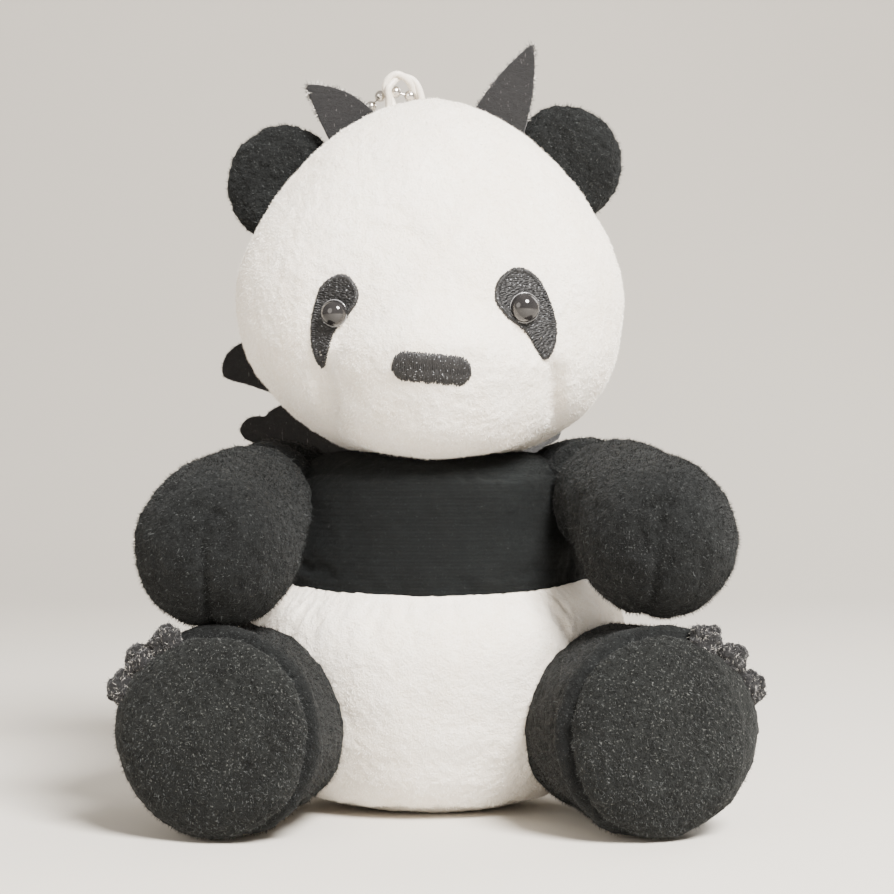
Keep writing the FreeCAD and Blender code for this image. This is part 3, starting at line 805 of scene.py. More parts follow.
# %% [markdown]
# The eyes sit on embroidered patches, so the places on the face are found first: a ray from the front
# says where the plush is at a given height and width, and which way it faces.

# %% Places on the face
def on_face(x, z):
    """The point and outward normal of the face at (x, z), in millimetres."""
    hit, place, normal, _ = head_face.ray_cast(Vector((x, -90, z)) * MM, Vector((0, 1, 0)))
    assert hit, (x, z)
    return np.array(place) / MM, np.array(normal)


def smooth_on_face(x, z, reach=1.2):
    """As on_face, averaged over a small ring so that the pile's tufts don't tip what is set there."""
    angles = np.linspace(0, 2 * math.pi, 7)[:-1]
    around = [on_face(x + reach * math.cos(a), z + reach * math.sin(a)) for a in angles]
    places, normals = zip(*around)
    normal = np.mean(normals, axis=0)
    place = np.mean(places, axis=0)
    return np.array([x, place[1], z]), normal / np.linalg.norm(normal)


# %% [markdown]
# Embroidery is real thread. One stitch is modelled, a short bar with six sides and tapered ends,
# and copied along the rows. Each copy arches over the plush from where it goes in to where it comes out.

# %% Thread finish and stitches
def thread_finish(name, deep, lit, glint):
    f = Finish(name, Roughness=0.42, Specular_IOR_Level=0.5)
    strand = f.noise(0.35 * MM, 1.0, 0.5)
    sparkle = f.noise(0.3 * MM, 0.0, 0.5).above(0.72, 0.80)
    f.set("Base Color", f.blend(sparkle, f.blend(strand, deep, lit), glint))
    f.set("Roughness", 0.5 - 0.2 * sparkle)
    f.bump(f.noise(0.12 * MM, 1.0, 0.5), 0.05 * MM)
    return f


BLACK_THREAD = thread_finish("black_thread", (0.0012, 0.0012, 0.0018), (0.009, 0.009, 0.011),
                             (0.22, 0.23, 0.25))

bpy.ops.object.select_all(action="DESELECT")
bpy.ops.mesh.primitive_cylinder_add(vertices=6, radius=1, depth=1, location=(0, 0, 0))
one_stitch = named("one_stitch")
bpy.ops.object.mode_set(mode="EDIT")
for place in (-0.34, 0.0, 0.34):
    bpy.ops.mesh.select_all(action="SELECT")
    bpy.ops.mesh.bisect(plane_co=(0, 0, place), plane_no=(0, 0, 1))
bpy.ops.object.mode_set(mode="OBJECT")
STITCH_POINTS = points_of(one_stitch)
STITCH_FACES = [tuple(p.vertices) for p in one_stitch.data.polygons]
bpy.data.objects.remove(one_stitch)
print("one stitch has", len(STITCH_FACES), "faces")


def sewn(name, stitches, radius, arch):
    """A mesh of stitches. Each is ((x, z), (x, z)) on the face, in millimetres."""
    points, faces = [], []
    for (x0, z0), (x1, z1) in stitches:
        along = np.array([x1 - x0, 0, z1 - z0])
        length = np.linalg.norm(along)
        middle, normal = on_face((x0 + x1) / 2, (z0 + z1) / 2)
        start, _ = on_face(x0, z0)
        end, _ = on_face(x1, z1)
        if max(abs(start[1] - middle[1]), abs(end[1] - middle[1])) > 3:
            continue
        side = np.cross(normal, along / length)
        side /= np.linalg.norm(side)
        t = STITCH_POINTS[:, 2] + 0.5
        line = (start[None] * ((1 - t) * (1 - 2 * t))[:, None] + middle[None] * (4 * t * (1 - t))[:, None]
                + end[None] * (t * (2 * t - 1))[:, None])
        taper = np.where(np.abs(t - 0.5) > 0.49, 0.5, 1.0) * radius
        lift = arch * (1 - (2 * t - 1) ** 2) - 0.25 * radius
        made = line + np.outer(STITCH_POINTS[:, 0] * taper, side)
        made += np.outer(STITCH_POINTS[:, 1] * taper + lift, normal)
        base = len(points) * len(STITCH_POINTS)
        faces += [tuple(base + i for i in face) for face in STITCH_FACES]
        points.append(made)
    return mesh_object(name, [tuple(p * MM) for block in points for p in block], faces)


def joined(name, objects):
    only(objects[0])
    for obj in objects[1:]:
        obj.select_set(True)
    bpy.ops.object.join()
    return named(name)


# %% [markdown]
# The nose is a bar with rounded ends, filled with upright satin stitches whose lower ends are ragged. Three
# layers, a third of a stitch apart, hide the plush between them.

# %% Nose
NOSE_X, NOSE_Z, NOSE_HALF_X, NOSE_HALF_Z, NOSE_TILT = 0.6, 85.4, 7.15, 2.5, math.radians(-5.5)


def make_nose(rng):
    stitches = []
    for layer in range(3):
        for x in np.arange(-NOSE_HALF_X + 0.15, NOSE_HALF_X, 0.33) + 0.11 * layer:
            end = max(0.0, abs(x) - (NOSE_HALF_X - NOSE_HALF_Z))
            half = math.sqrt(max(NOSE_HALF_Z ** 2 - end ** 2, 0.04))
            top = half + rng.uniform(-0.15, 0.2)
            low = -half - rng.uniform(-0.1, 0.55)
            split = rng.uniform(-0.5, 0.5)
            for a, b in ((top, split - 0.4), (split + 0.4, low)) if layer else ((top, low),):
                lean = rng.uniform(-0.18, 0.18)
                ends = []
                for px, pz in ((x - lean, a), (x + lean, b)):
                    c, s = math.cos(NOSE_TILT), math.sin(NOSE_TILT)
                    ends.append((NOSE_X + px * c - pz * s, NOSE_Z + px * s + pz * c))
                stitches.append(tuple(ends))
    nose = sewn("nose_thread", stitches, 0.2, 0.5)
    return finished(settle(nose), BLACK_THREAD, "black_thread", "nose_embroidery", body="head")


nose = make_nose(np.random.default_rng(7))
print("nose", len(nose.data.polygons), "faces")

# %% [markdown]
# Each eye patch is a bean drawn to a point below and outwards. Rows of short stitches fill it, and a line
# of satin stitches, square to its edge, borders it.

# %% Eye patches
PATCHES = {
    "left": [(-16.7, 102.9), (-20.1, 100.6), (-21.9, 94.4), (-21.6, 88.8), (-19.7, 86.0), (-17.7, 92.0),
             (-14.6, 95.6), (-12.9, 98.8), (-14.2, 101.9)],
    "right": [(17.0, 104.2), (13.4, 102.4), (12.2, 98.6), (14.2, 95.2), (18.0, 92.2), (21.4, 87.4),
              (23.5, 90.0), (23.6, 95.0), (20.9, 101.6)],
}


def catmull_rom(a, b, c, d, t):
    """The point at t from 0 to 1 between b and c, on a smooth line that also goes through a and d."""
    return 0.5 * (2 * b + (c - a) * t + (2 * a - 5 * b + 4 * c - d) * t ** 2 + (3 * b - 3 * c + d - a) * t ** 3)


STITCH_ROW, BORDER_STITCHES = 0.24, 130


def closed_curve(corners, count=BORDER_STITCHES):
    """A smooth closed line through a few points."""
    corners = np.array(corners)
    n = len(corners)
    line = []
    for u in np.linspace(0, n, count, endpoint=False):
        i, t = int(u), u - int(u)
        line.append(catmull_rom(*(corners[(i + k) % n] for k in (-1, 0, 1, 2)), t))
    return np.array(line)


def within(line, x, z):
    """Which of the places (x, z) lie inside a closed line."""
    x, z = np.atleast_1d(x)[:, None], np.atleast_1d(z)[:, None]
    a, b = line, np.roll(line, -1, axis=0)
    run = (b[:, 0] - a[:, 0]) / (b[:, 1] - a[:, 1] + 1e-12)
    crosses = ((a[:, 1] > z) != (b[:, 1] > z)) & (x < run * (z - a[:, 1]) + a[:, 0])
    return crosses.sum(axis=1) % 2 == 1


def make_patch(side, rng):
    sign = SIGN[side]
    line = closed_curve(PATCHES[side])
    low, high = line.min(axis=0), line.max(axis=0)
    fill = []
    for z in np.arange(low[1], high[1], STITCH_ROW):
        x = low[0] - rng.uniform(0, 1.3)
        while x < high[0]:
            length = rng.uniform(1.0, 1.7)
            rise = 0.25 * sign * length * rng.uniform(0.2, 1.4)
            if all(within(line, [x + 0.1, x + length - 0.1], [z, z + rise])):
                fill.append(((x, z), (x + length, z + rise)))
            x += length * 0.72
    tangent = np.roll(line, -1, axis=0) - np.roll(line, 1, axis=0)
    across = np.stack([tangent[:, 1], -tangent[:, 0]], axis=1)
    across = to_length_one(across)
    if not within(line, *(line[0] + across[0] * 0.5))[0]:
        across = -across
    border = []
    for place, inward in zip(line, across):
        outer = place - inward * rng.uniform(0.0, 0.22)
        inner = place + inward * rng.uniform(0.85, 1.15)
        border.append((tuple(outer), tuple(inner)))
    thread = [sewn("fill", fill, 0.17, 0.24), sewn("border", border, 0.18, 0.42)]
    patch = joined(f"eye_patch_{side}_thread", [*thread, backing_pad(line, f"patch_{side}_backing")])
    return finished(settle(patch), BLACK_THREAD, "black_thread", f"eye_patch_{side}", body="head")


def backing_pad(line, name, lift=0.12, depth=0.5):
    """A thin closed pad under the stitches, so that no white shows between them."""
    rings = [1.0, 0.75, 0.5, 0.25]
    middle = line.mean(axis=0)
    count = len(line)
    points, faces = [], []
    for sheet in (lift, lift - depth):
        for ring in rings:
            for x, z in middle + (line - middle) * ring * (1.0 if sheet > 0 else 0.97):
                place, normal = on_face(x, z)
                points.append(tuple((place + normal * sheet) * MM))
        place, normal = on_face(*middle)
        points.append(tuple((place + normal * sheet) * MM))
    step = count * len(rings) + 1
    for sheet in range(2):
        base = sheet * step
        for r in range(len(rings) - 1):
            for i in range(count):
                j = (i + 1) % count
                a, b = base + r * count, base + (r + 1) * count
                faces.append((a + i, a + j, b + j, b + i))
        hub, last = base + step - 1, base + (len(rings) - 1) * count
        faces += [(last + i, last + (i + 1) % count, hub) for i in range(count)]
    faces += [(i, (i + 1) % count, step + (i + 1) % count, step + i) for i in range(count)]
    return mesh_object(name, points, faces)


patches = {side: make_patch(side, np.random.default_rng(11)) for side in SIGN}
print("patches", [len(p.data.polygons) for p in patches.values()])

# %% [markdown]
# The eyes are moulded plastic domes on a shank: black, highly polished, with a thin clear lip where the
# dome meets the patch. The lip is coloured grey as a painted highlight: the ring of light on the clear rim.

# %% Eyes
EYE_PLACES = {"left": (-17.3, 95.8, 2.45), "right": (17.6, 96.8, 2.75)}

EYE_BLACK = Finish("eye_black", Roughness=0.05, Coat_Weight=0.3, Coat_Roughness=0.02, Specular_IOR_Level=0.4)
depth_noise = EYE_BLACK.noise(3.0 * MM, 1.0, 0.5)
EYE_BLACK.set("Base Color", EYE_BLACK.blend(depth_noise, (0.004, 0.004, 0.005), (0.030, 0.028, 0.028)))
# The lip's grey colour is a painted highlight, the ring of light on the rim of the clear dome.
EYE_LIP_HIGHLIGHT = Finish("eye_lip", Base_Color=(0.16, 0.16, 0.165, 1), Roughness=0.12, Coat_Weight=1.0,
                 Coat_Roughness=0.03)


def make_eye(side):
    x, z, radius = EYE_PLACES[side]
    place, normal = smooth_on_face(x, z, 2.4)
    normal = np.array([normal[0] * 0.5, normal[1], normal[2] * 0.5])
    turn = Vector(normal).to_track_quat("Z", "Y").to_matrix().to_4x4()
    bpy.ops.object.select_all(action="DESELECT")
    bpy.ops.mesh.primitive_uv_sphere_add(segments=48, ring_count=24, radius=radius * MM)
    dome = named(f"eye_{side}_dome")
    points = points_of(dome)
    points[:, 2] = np.where(points[:, 2] > 0, points[:, 2] * 0.86, points[:, 2] * 0.5)
    set_points(dome, points)
    wear(dome, EYE_BLACK)
    bpy.ops.object.select_all(action="DESELECT")
    bpy.ops.mesh.primitive_torus_add(major_radius=radius * 0.985 * MM, minor_radius=0.17 * MM,
                                     major_segments=64, minor_segments=12)
    lip_highlight = named(f"eye_{side}_lip")
    wear(lip_highlight, EYE_LIP_HIGHLIGHT)
    for piece in (dome, lip_highlight):
        piece.data.transform(Matrix.Translation(Vector(place + normal * 0.75) * MM) @ turn)
        settle(piece)
        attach(piece, "head")
        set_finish(piece, "eye_gloss")
    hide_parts(f"eye_{side}")
    return dome, lip_highlight


eyes = {side: make_eye(side) for side in SIGN}
print("eyes", [round(max(v.co.y for v in dome.data.vertices) / MM, 1) for dome, _ in eyes.values()])

# %% [markdown]
# The pile itself stands on the plush as thousands of short fibres, which is what makes the outline soft.
# One fibre is a thin closed spike of four faces, laid over at a random slant. They are scattered evenly by
# area with a fixed seed, in three plain shades, so that they need no pattern of their own. On the black the
# two lighter shades are painted glints: fibre tips catching the light.

# %% Pile fibres
def shade(name, colour, sheen):
    return Finish(name, Base_Color=(*colour, 1), Roughness=0.8, Sheen_Weight=sheen, Sheen_Roughness=0.4,
                  Specular_IOR_Level=0.3)


# The two lighter black shades are painted highlights, fibre tips catching the light.
BLACK_FIBRES = [shade("fibre_black", (0.0012, 0.0015, 0.0018), 0.0),
                shade("fibre_soot", (0.009, 0.0105, 0.011), 0.0),
                shade("fibre_glint", (0.07, 0.075, 0.076), 0.05)]
WHITE_FIBRES = [shade("fibre_cream", (0.86, 0.80, 0.72), 0.1), shade("fibre_white", (0.92, 0.89, 0.84), 0.1),
                shade("fibre_bright", (0.97, 0.95, 0.92), 0.1)]


def scattered(obj, count, rng, keep=None):
    """Random places on a mesh, even by area, with their normals. keep says which places stay."""
    mesh = obj.data
    mesh.calc_loop_triangles()
    corners = np.empty(len(mesh.loop_triangles) * 3, dtype=np.int32)
    mesh.loop_triangles.foreach_get("vertices", corners)
    corners = corners.reshape(-1, 3)
    points = points_of(obj)
    a, b, c = (points[corners[:, k]] for k in range(3))
    area = np.linalg.norm(np.cross(b - a, c - a), axis=1)
    pick = rng.choice(len(corners), size=count, p=area / area.sum())
    u, v = rng.random(count), rng.random(count)
    flip = u + v > 1
    u[flip], v[flip] = 1 - u[flip], 1 - v[flip]
    places = a[pick] + (b - a)[pick] * u[:, None] + (c - a)[pick] * v[:, None]
    normals = np.cross(b - a, c - a)[pick]
    normals /= np.linalg.norm(normals, axis=1)[:, None] + 1e-12
    if keep is not None:
        chosen = keep(places / MM)
        places, normals = places[chosen], normals[chosen]
    return places, normals


def spikes(name, places, directions, lengths, width, shares, finishes, rng):
    """Closed three-sided spikes, each from a place along a direction."""
    n = len(places)
    side = np.cross(directions, rng.normal(size=(n, 3)))
    side = to_length_one(side)
    other = np.cross(directions, side)
    root = places - directions * 0.12 * MM
    third = 2 * math.pi / 3
    points = np.empty((n, 4, 3))
    for k in range(3):
        points[:, k] = root + width * (math.cos(third * k) * side + math.sin(third * k) * other)
    points[:, 3] = places + directions * lengths[:, None]
    pattern = np.array([[0, 1, 3], [1, 2, 3], [2, 0, 3], [0, 2, 1]])
    faces = (pattern[None] + 4 * np.arange(n)[:, None, None]).reshape(-1, 3)
    obj = mesh_object(name, points.reshape(-1, 3), faces)
    mesh = obj.data
    for finish in finishes:
        mesh.materials.append(finish.material)
    slots = rng.choice(len(finishes), size=n, p=shares)
    mesh.polygons.foreach_set("material_index", np.repeat(slots, 4).astype(np.int32))
    mesh.update()
    return obj


def pile(obj, name, per_mm2, length, lie, finishes, shares, seed, keep=None):
    """Fibres over a plush piece. lie is the way the pile is brushed."""
    rng = np.random.default_rng(seed)
    area = sum(p.area for p in obj.data.polygons) / MM ** 2
    count = int(area * per_mm2 * (1.0))
    places, normals = scattered(obj, count, rng, keep)
    n = len(places)
    upright = normals * rng.uniform(0.35, 0.9, n)[:, None]
    directions = upright + np.array(lie) * 0.55 + rng.normal(size=(n, 3)) * 0.35
    directions = to_length_one(directions)
    below = (directions * normals).sum(axis=1) < 0.15
    directions[below] += normals[below] * 0.6
    directions = to_length_one(directions)
    lengths = length * rng.uniform(0.45, 1.1, n)
    tips = places[:, 2] + directions[:, 2] * lengths
    lengths = np.where(tips < 0.0002, 0.2 * MM, lengths)
    made = spikes(name, places, directions, lengths, 0.055 * MM, shares, finishes, rng)
    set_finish(made, obj["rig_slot"])
    return made


def off_the_thread(places):
    """True where there is plush, and not embroidery. Fibres at an edge stay and make it ragged."""
    clear = np.ones(len(places), bool)
    for side in PATCHES:
        line = closed_curve(PATCHES[side])
        middle = line.mean(axis=0)
        clear &= ~within(middle + (line - middle) * 0.97, places[:, 0], places[:, 2])
    c, s = math.cos(-NOSE_TILT), math.sin(-NOSE_TILT)
    x, z = places[:, 0] - NOSE_X, places[:, 2] - NOSE_Z
    along, up = x * c - z * s, x * s + z * c
    past = np.maximum(0, np.abs(along) - (NOSE_HALF_X - NOSE_HALF_Z))
    return clear & (np.hypot(past, up) > NOSE_HALF_Z)


BLACK_SHARES, SOLE_SHARES, BAND_SHARES = (0.5, 0.44, 0.06), (0.38, 0.47, 0.15), (0.8, 0.19, 0.01)
WHITE_SHARES = (0.2, 0.5, 0.3)
piles = []
for side, sign in SIGN.items():
    leg, sole = legs[side]
    arm_pile = pile(arms[side], f"arm_{side}_pile", 4.5, 0.95 * MM, (0.2 * sign, -0.8, -0.5),
                    BLACK_FIBRES, BLACK_SHARES, 61 + sign)
    leg_pile = pile(leg, f"leg_{side}_pile", 3.0, 0.85 * MM, (0.2 * sign, -0.8, -0.4),
                    BLACK_FIBRES, BLACK_SHARES, 64 + sign, keep=lambda p: p[:, 2] > 1.0)
    sole_pile = pile(sole, f"sole_{side}_pile", 7.0, 0.8 * MM, (0.3, 0.0, -0.5),
                     BLACK_FIBRES, SOLE_SHARES, 67 + sign, keep=lambda p: (p[:, 2] > 1.0) & (p[:, 1] < -42))
    ear_pile = pile(ears[side], f"ear_{side}_pile", 5.0, 0.9 * MM, (0.5 * sign, -0.3, 0.6),
                    BLACK_FIBRES, BLACK_SHARES, 70 + sign)
    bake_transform(arm_pile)
    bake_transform(leg_pile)
    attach(sole_pile, f"leg_{side}")
    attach(ear_pile, f"ear_{side}")
    piles += [arm_pile, leg_pile, sole_pile, ear_pile]
DOWN = (0.0, -0.3, -0.8)
chest_pile = pile(chest, "chest_pile", 2.4, 0.5 * MM, DOWN, BLACK_FIBRES, BAND_SHARES, 73,
                  keep=lambda p: p[:, 2] > 44.5)
belly_pile = pile(belly, "belly_pile", 2.8, 0.5 * MM, DOWN, WHITE_FIBRES, WHITE_SHARES, 74,
                  keep=lambda p: (p[:, 2] > 1.0) & (p[:, 2] < 42.0))
face_pile = pile(head_face, "face_pile", 4.5, 0.5 * MM, (0.0, -0.3, -0.6), WHITE_FIBRES, WHITE_SHARES, 75,
                 keep=lambda p: (p[:, 1] < CROWN_Y - 0.8) & off_the_thread(p))
back_pile = pile(head_back, "head_back_pile", 2.6, 0.5 * MM, (0.0, 0.3, -0.6), WHITE_FIBRES, WHITE_SHARES, 76,
                 keep=lambda p: p[:, 1] > CROWN_Y + 0.8)
for made, body in ((chest_pile, "torso"), (belly_pile, "torso"), (face_pile, "head"), (back_pile, "head")):
    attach(made, body)
    piles.append(made)
print("pile", sum(len(made.data.polygons) for made in piles), "faces")

# %% [markdown]
# Horns and wings are cut from black craft felt. A flat outline is extruded, and a voxel remesh and some
# smoothing round its rim. The wings get a light bend. The cut edges fray into pale glinting fibres.

# %% Felt finish and cutting
def felt_finish(name, deep, lit, glint, share):
    f = Finish(name, Roughness=0.95, Sheen_Weight=0.35, Sheen_Roughness=0.5, Sheen_Tint=(0.6, 0.6, 0.62, 1),
               Specular_IOR_Level=0.2)
    wool = f.noise(0.5 * MM, 4.0, 0.7, stretch=(1.6, 1, 1))
    hairs = f.noise(0.9 * MM, 3.0, 0.8, stretch=(0.4, 1, 2.2)).above(share, share + 0.05)
    # The wool noise also makes the bump: raised wool is painted lighter and its hollows darker, as painted
    # shade over the felt's random tone.
    f.set("Base Color", f.blend(hairs * 0.6, f.blend(wool, deep, lit), glint))
    f.bump(wool, 0.3 * MM)
    return f


BLACK_FELT = felt_finish("black_felt", (0.003, 0.003, 0.0035), (0.016, 0.016, 0.017),
                         (0.22, 0.21, 0.21), 0.66)
FRAY = [shade("fray_silver", (0.55, 0.53, 0.50), 0.2), shade("fray_grey", (0.12, 0.12, 0.12), 0.2),
        shade("fray_black", (0.01, 0.01, 0.011), 0.2)]


def edge_points(corners, per_side):
    """A closed outline from (x, z, bow) corners: bow pushes the middle of the edge that follows outwards."""
    line = []
    for (x0, z0, bow), (x1, z1, _) in zip(corners, corners[1:] + corners[:1]):
        along = np.array([x1 - x0, z1 - z0])
        length = np.linalg.norm(along)
        out = np.array([-along[1], along[0]]) / length
        for t in np.linspace(0, 1, per_side, endpoint=False):
            line.append(np.array([x0, z0]) + along * t + out * bow * 4 * t * (1 - t))
    return np.array(line)


def felt_piece(name, outline, y, thickness):
    """Felt cut to an outline in XZ, with even faces and a rounded rim."""
    obj = mesh_object(name, [(x * MM, y * MM, z * MM) for x, z in outline], [tuple(range(len(outline)))])
    only(obj)
    bpy.ops.object.mode_set(mode="EDIT")
    bpy.ops.mesh.select_all(action="SELECT")
    bpy.ops.mesh.extrude_region_move(TRANSFORM_OT_translate={"value": (0, thickness * MM, 0)})
    bpy.ops.mesh.select_all(action="SELECT")
    bpy.ops.mesh.normals_make_consistent(inside=False)
    bpy.ops.object.mode_set(mode="OBJECT")
    apply(obj, "REMESH", mode="VOXEL", voxel_size=0.32 * MM)
    apply(obj, "SMOOTH", factor=0.5, iterations=5)
    return obj


def fray(outline, y, thickness, name, per_mm, length, rng, shares=(0.45, 0.3, 0.25),
         from_z=-1e9, tip=None):
    """Loose fibres along a cut edge."""
    line = np.vstack([outline, outline[:1]])
    steps = np.linalg.norm(np.diff(line, axis=0), axis=1)
    count = int(steps.sum() * per_mm)
    pick = rng.choice(len(steps), size=count, p=steps / steps.sum())
    t = rng.random(count)[:, None]
    place = line[pick] * (1 - t) + line[pick + 1] * t
    along = (line[pick + 1] - line[pick]) / steps[pick][:, None]
    middle = outline.mean(axis=0)
    out = np.stack([along[:, 1], -along[:, 0]], axis=1)
    out *= np.sign(((place - middle) * out).sum(axis=1))[:, None]
    places = np.stack([place[:, 0], y + thickness * rng.random(count), place[:, 1]], axis=1)
    outwards = np.stack([out[:, 0], 0 * out[:, 0], out[:, 1]], axis=1)
    directions = outwards * 0.6 + rng.normal(size=(count, 3)) * 0.6
    directions = to_length_one(directions)
    stays = places[:, 2] > from_z
    places, directions = places[stays], directions[stays]
    lengths = length * rng.uniform(0.3, 1.2, len(places))
    if tip is not None:
        close = np.hypot(places[:, 0] - tip[0], places[:, 2] - tip[1]) < 3
        lengths = np.where(close, lengths * 1.5, lengths)
    return spikes(name, places * MM, directions, lengths, 0.08 * MM, shares, FRAY, rng)


# %% Horns
HORNS = {
    "left": [(-19.2, 130.5, 0.3), (-24.7, 142.6, 0.1), (-23.9, 143.3, 2.0), (-9.6, 135.8, 0.0)],
    "right": [(8.2, 137.0, 0.9), (19.9, 151.0, 0.1), (20.7, 150.8, 1.0), (18.4, 132.5, 0.0)],
}
HORN_Y, HORN_THICKNESS = -1.6, 1.3


def make_horn(side):
    outline = edge_points(HORNS[side], 9)
    horn = felt_piece(f"horn_{side}_felt", outline, HORN_Y - HORN_THICKNESS / 2, HORN_THICKNESS)
    nap(horn, 0.25 * MM, 1.4 * MM, 80)
    finished(settle(horn), BLACK_FELT, "black_felt", f"horn_{side}", body=f"horn_{side}")
    rng = np.random.default_rng(81 if side == "left" else 82)
    edge = fray(outline, HORN_Y - HORN_THICKNESS / 2, HORN_THICKNESS, f"horn_{side}_fray", 22, 0.8 * MM, rng,
                from_z=136, tip=HORNS[side][1][:2])
    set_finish(edge, "black_felt")
    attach(edge, f"horn_{side}")
    return horn


horns = {side: make_horn(side) for side in SIGN}
print("horns", [len(h.data.polygons) for h in horns.values()])

# %% [markdown]
# The wings are two small bat wings on the back, with a curved leading edge and two lobes behind it. Their
# outline starts at the seam beside the spine, and each is turned back to where its CAD piece lies.

# %% Wings
WING_ROOT_X, WING_ROOT_Y, WING_THICKNESS = 6.0, 30.5, 1.5
WING_OUTLINE = [(0.0, 51.0, 0.0), (0.0, 63.0, 0.8), (14.0, 82.0, 1.2), (30.0, 93.6, 0.7), (36.2, 93.2, 0.9),
                (39.8, 87.6, 0.6), (37.6, 85.4, -0.4), (24.0, 80.5, 0.8), (30.5, 77.6, 0.7), (35.3, 76.2, 0.8),
                (34.6, 72.6, -0.5), (12.0, 62.0, -0.6)]
WING_SWEEP = {"left": 6.0, "right": 48.0}


def make_wing(side):
    sign = SIGN[side]
    outline = edge_points(WING_OUTLINE, 8)
    wing = felt_piece(f"wing_{side}_felt", outline, 0.0, WING_THICKNESS)
    rng = np.random.default_rng(90)
    edge = fray(outline, 0.0, WING_THICKNESS, f"wing_{side}_fray", 7, 0.7 * MM, rng, shares=(0.12, 0.4, 0.48))
    for piece in (wing, edge):
        points = mm_points(piece)
        points[:, 1] += 1.2 * np.sin(points[:, 0] / 43 * math.pi)
        turn = math.radians(WING_SWEEP[side])
        x = points[:, 0] * math.cos(turn) - points[:, 1] * math.sin(turn)
        y = points[:, 0] * math.sin(turn) + points[:, 1] * math.cos(turn)
        points[:, 0], points[:, 1] = sign * (WING_ROOT_X + x), WING_ROOT_Y + y
        set_mm(piece, points)
        settle(piece)
        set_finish(piece, "black_felt")
        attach(piece, f"wing_{side}")
    nap(wing, 0.3 * MM, 2.0 * MM, 85)
    wear(wing, BLACK_FELT)
    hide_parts(f"wing_{side}")
    return wing


wings = {side: make_wing(side) for side in SIGN}

# %% [markdown]
# The claws are three small scalloped tufts sewn into the seam at the toes, matted and full of glitter.

# %% Toe claws
CLAW_ANGLES = (26, 45, 64)
CLAW_FELT = felt_finish("claw_felt", (0.002, 0.002, 0.0025), (0.012, 0.012, 0.013),
                        (0.45, 0.43, 0.40), 0.62)
CLAW_HALF = np.array([3.3, 1.6, 2.7])


def make_claws(side):
    sign = SIGN[side]
    _, foot, along = leg_line(side)
    across = np.array([-along[1], along[0], 0.0])
    across *= np.sign(across[0] * sign)
    rng = np.random.default_rng(95 + sign)
    tufts = []
    for number, angle in enumerate(CLAW_ANGLES):
        a = math.radians(angle)
        out = np.array([0, 0, 1.0]) * math.cos(a) + across * math.sin(a)
        side_way = np.cross(out, along)
        tuft, unit = ball(f"claw_{number}", 14)
        lumps = 1 + 0.10 * np.sin(5 * unit[:, 0] + number) + 0.08 * np.sin(7 * unit[:, 2] + 2 * number)
        local = unit * CLAW_HALF * lumps[:, None]
        middle = foot - along * 1.6 + out * (FOOT_RADIUS + 0.1)
        points = middle + local @ np.array([side_way, along, out])
        set_mm(tuft, points)
        refine(tuft)
        nap(tuft, 1.1 * MM, 0.9 * MM, 96 + number)
        tufts.append(tuft)
    claws = joined(f"toe_claws_{side}_tufts", tufts)
    finished(settle(claws), CLAW_FELT, "claw_felt", f"toe_claws_{side}", body=f"leg_{side}")
    places, normals = scattered(claws, 900, rng)
    directions = normals + rng.normal(size=normals.shape) * 0.6
    directions = to_length_one(directions)
    lengths = 0.9 * MM * rng.uniform(0.3, 1.1, len(places))
    fibres = spikes(f"toe_claws_{side}_fray", places, directions, lengths, 0.05 * MM,
                    (0.22, 0.28, 0.5), FRAY, rng)
    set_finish(fibres, "claw_felt")
    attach(fibres, f"leg_{side}")
    return claws


claws = {side: make_claws(side) for side in SIGN}

# %% [markdown]
# The hanging loop is a short length of white satin cord, sewn into the crown by both ends: two plies
# twisted round each other. Each ply is a tube swept along the loop's line.

# %% Hanging loop
SATIN = Finish("white_satin", Roughness=0.38, Sheen_Weight=0.4, Sheen_Roughness=0.3, Specular_IOR_Level=0.6)
twill = SATIN.noise(0.3 * MM, 2.0, 0.6, stretch=(1, 1, 4))
SATIN.set("Base Color", SATIN.blend(twill, (0.62, 0.55, 0.46), (0.86, 0.81, 0.72)))
SATIN.bump(twill, 0.08 * MM)
LOOP_LINE = [(-7.6, 1.6, 137.6), (-8.0, 1.4, 140.4), (-8.6, 0.9, 143.2), (-6.6, 1.4, 145.4),
             (-3.9, 2.6, 144.6), (-2.3, 3.6, 142.0), (-1.4, 4.0, 139.6), (-1.2, 4.0, 137.4)]
PLY_RADIUS, PLY_OFF_CENTRE, PLY_TURNS = 0.72, 0.55, 1.5


def tube(name, line, radius):
    """A closed tube of square-cut ends along a line of points, in millimetres."""
    curve = bpy.data.curves.new(name, "CURVE")
    curve.dimensions = "3D"
    spline = curve.splines.new("NURBS")
    spline.points.add(len(line) - 1)
    for point, place in zip(spline.points, line):
        point.co = (*(np.array(place) * MM), 1)
    spline.order_u = 3
    spline.use_endpoint_u = True
    curve.resolution_u = 10
    curve.bevel_depth = radius * MM
    curve.bevel_resolution = 2
    curve.use_fill_caps = True
    obj = bpy.data.objects.new(name, curve)
    bpy.context.collection.objects.link(obj)
    only(obj)
    bpy.ops.object.convert(target="MESH")
    return named(name)


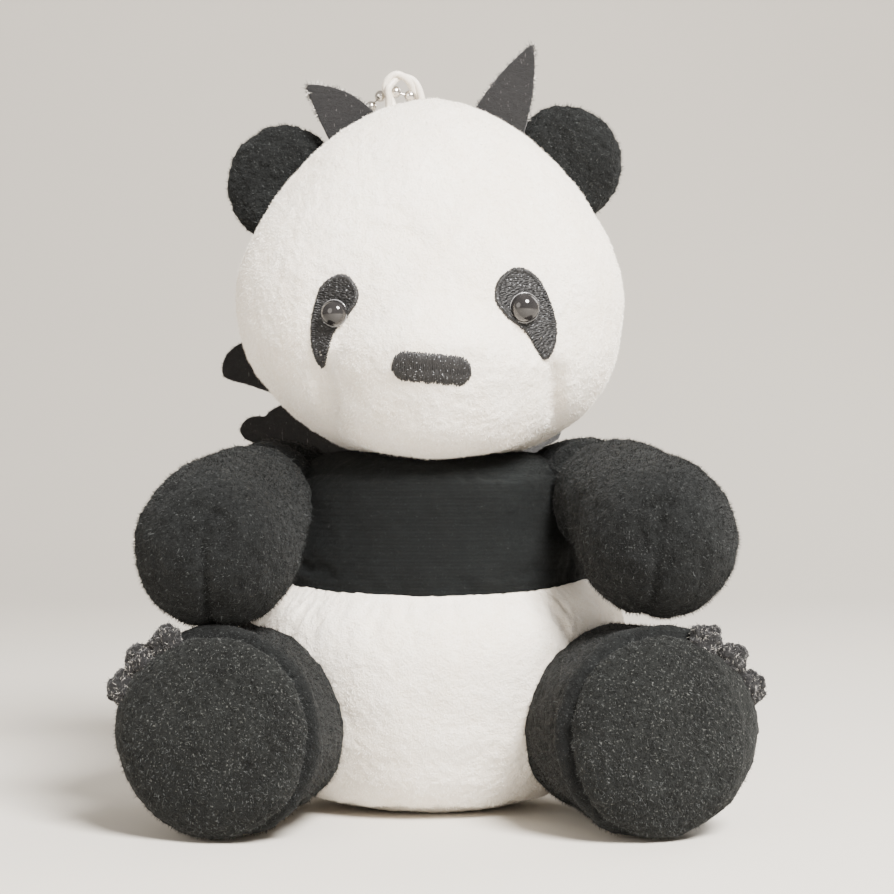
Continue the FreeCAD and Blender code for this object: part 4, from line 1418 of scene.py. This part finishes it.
def spline_points(line, count):
    """Points along the smooth line through a few places."""
    line = np.array(line, float)
    padded = np.vstack([2 * line[0] - line[1], line, 2 * line[-1] - line[-2]])
    out = []
    for u in np.linspace(0, len(line) - 1 - 1e-9, count):
        i, t = int(u), u - int(u)
        out.append(catmull_rom(*padded[i:i + 4], t))
    return np.array(out)


def make_loop():
    middle = spline_points(LOOP_LINE, 60)
    tangent = np.gradient(middle, axis=0)
    tangent = to_length_one(tangent)
    side = np.cross(tangent, [0.3, 1.0, 0.1])
    side = to_length_one(side)
    other = np.cross(tangent, side)
    plies = []
    for ply in range(2):
        turn = np.linspace(0, 2 * math.pi * PLY_TURNS, len(middle))[:, None] + math.pi * ply
        line = middle + PLY_OFF_CENTRE * (np.cos(turn) * side + np.sin(turn) * other)
        plies.append(tube(f"ply_{ply}", line, PLY_RADIUS))
    loop = joined("hanging_loop_cord", plies)
    return finished(settle(loop), SATIN, "satin_cord", "hanging_loop", body="hanging_loop")


loop = make_loop()

# %% [markdown]
# The chain is left as its CAD pieces, hollow beads on dumbbell pins, because their shape is right. They get
# a nickel plating with fine scuffs, and the hidden washers a plain moulded plastic.

# %% Chain and washers
NICKEL = Finish("nickel_plate", Metallic=1.0)
scuff = NICKEL.noise(0.8 * MM, 3.0, 0.6)
NICKEL.set("Base Color", NICKEL.blend(scuff, (0.62, 0.58, 0.54), (0.86, 0.84, 0.80)))
NICKEL.set("Roughness", 0.12 + 0.16 * scuff)
NICKEL.bump(NICKEL.noise(0.5 * MM, 2.0, 0.5), 0.01 * MM)
WASHER = Finish("moulded_washer", Roughness=0.5)
WASHER.set("Base Color", WASHER.blend(WASHER.noise(0.6 * MM), (0.68, 0.67, 0.63), (0.76, 0.75, 0.72)))

for node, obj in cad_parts.items():
    finish = NICKEL if node.startswith("chain_") else WASHER if "washer" in node else None
    if finish:
        for slot in obj.material_slots:
            slot.material = finish.material
        if not obj.material_slots:
            obj.data.materials.append(finish.material)

bpy.data.objects.remove(head_form)
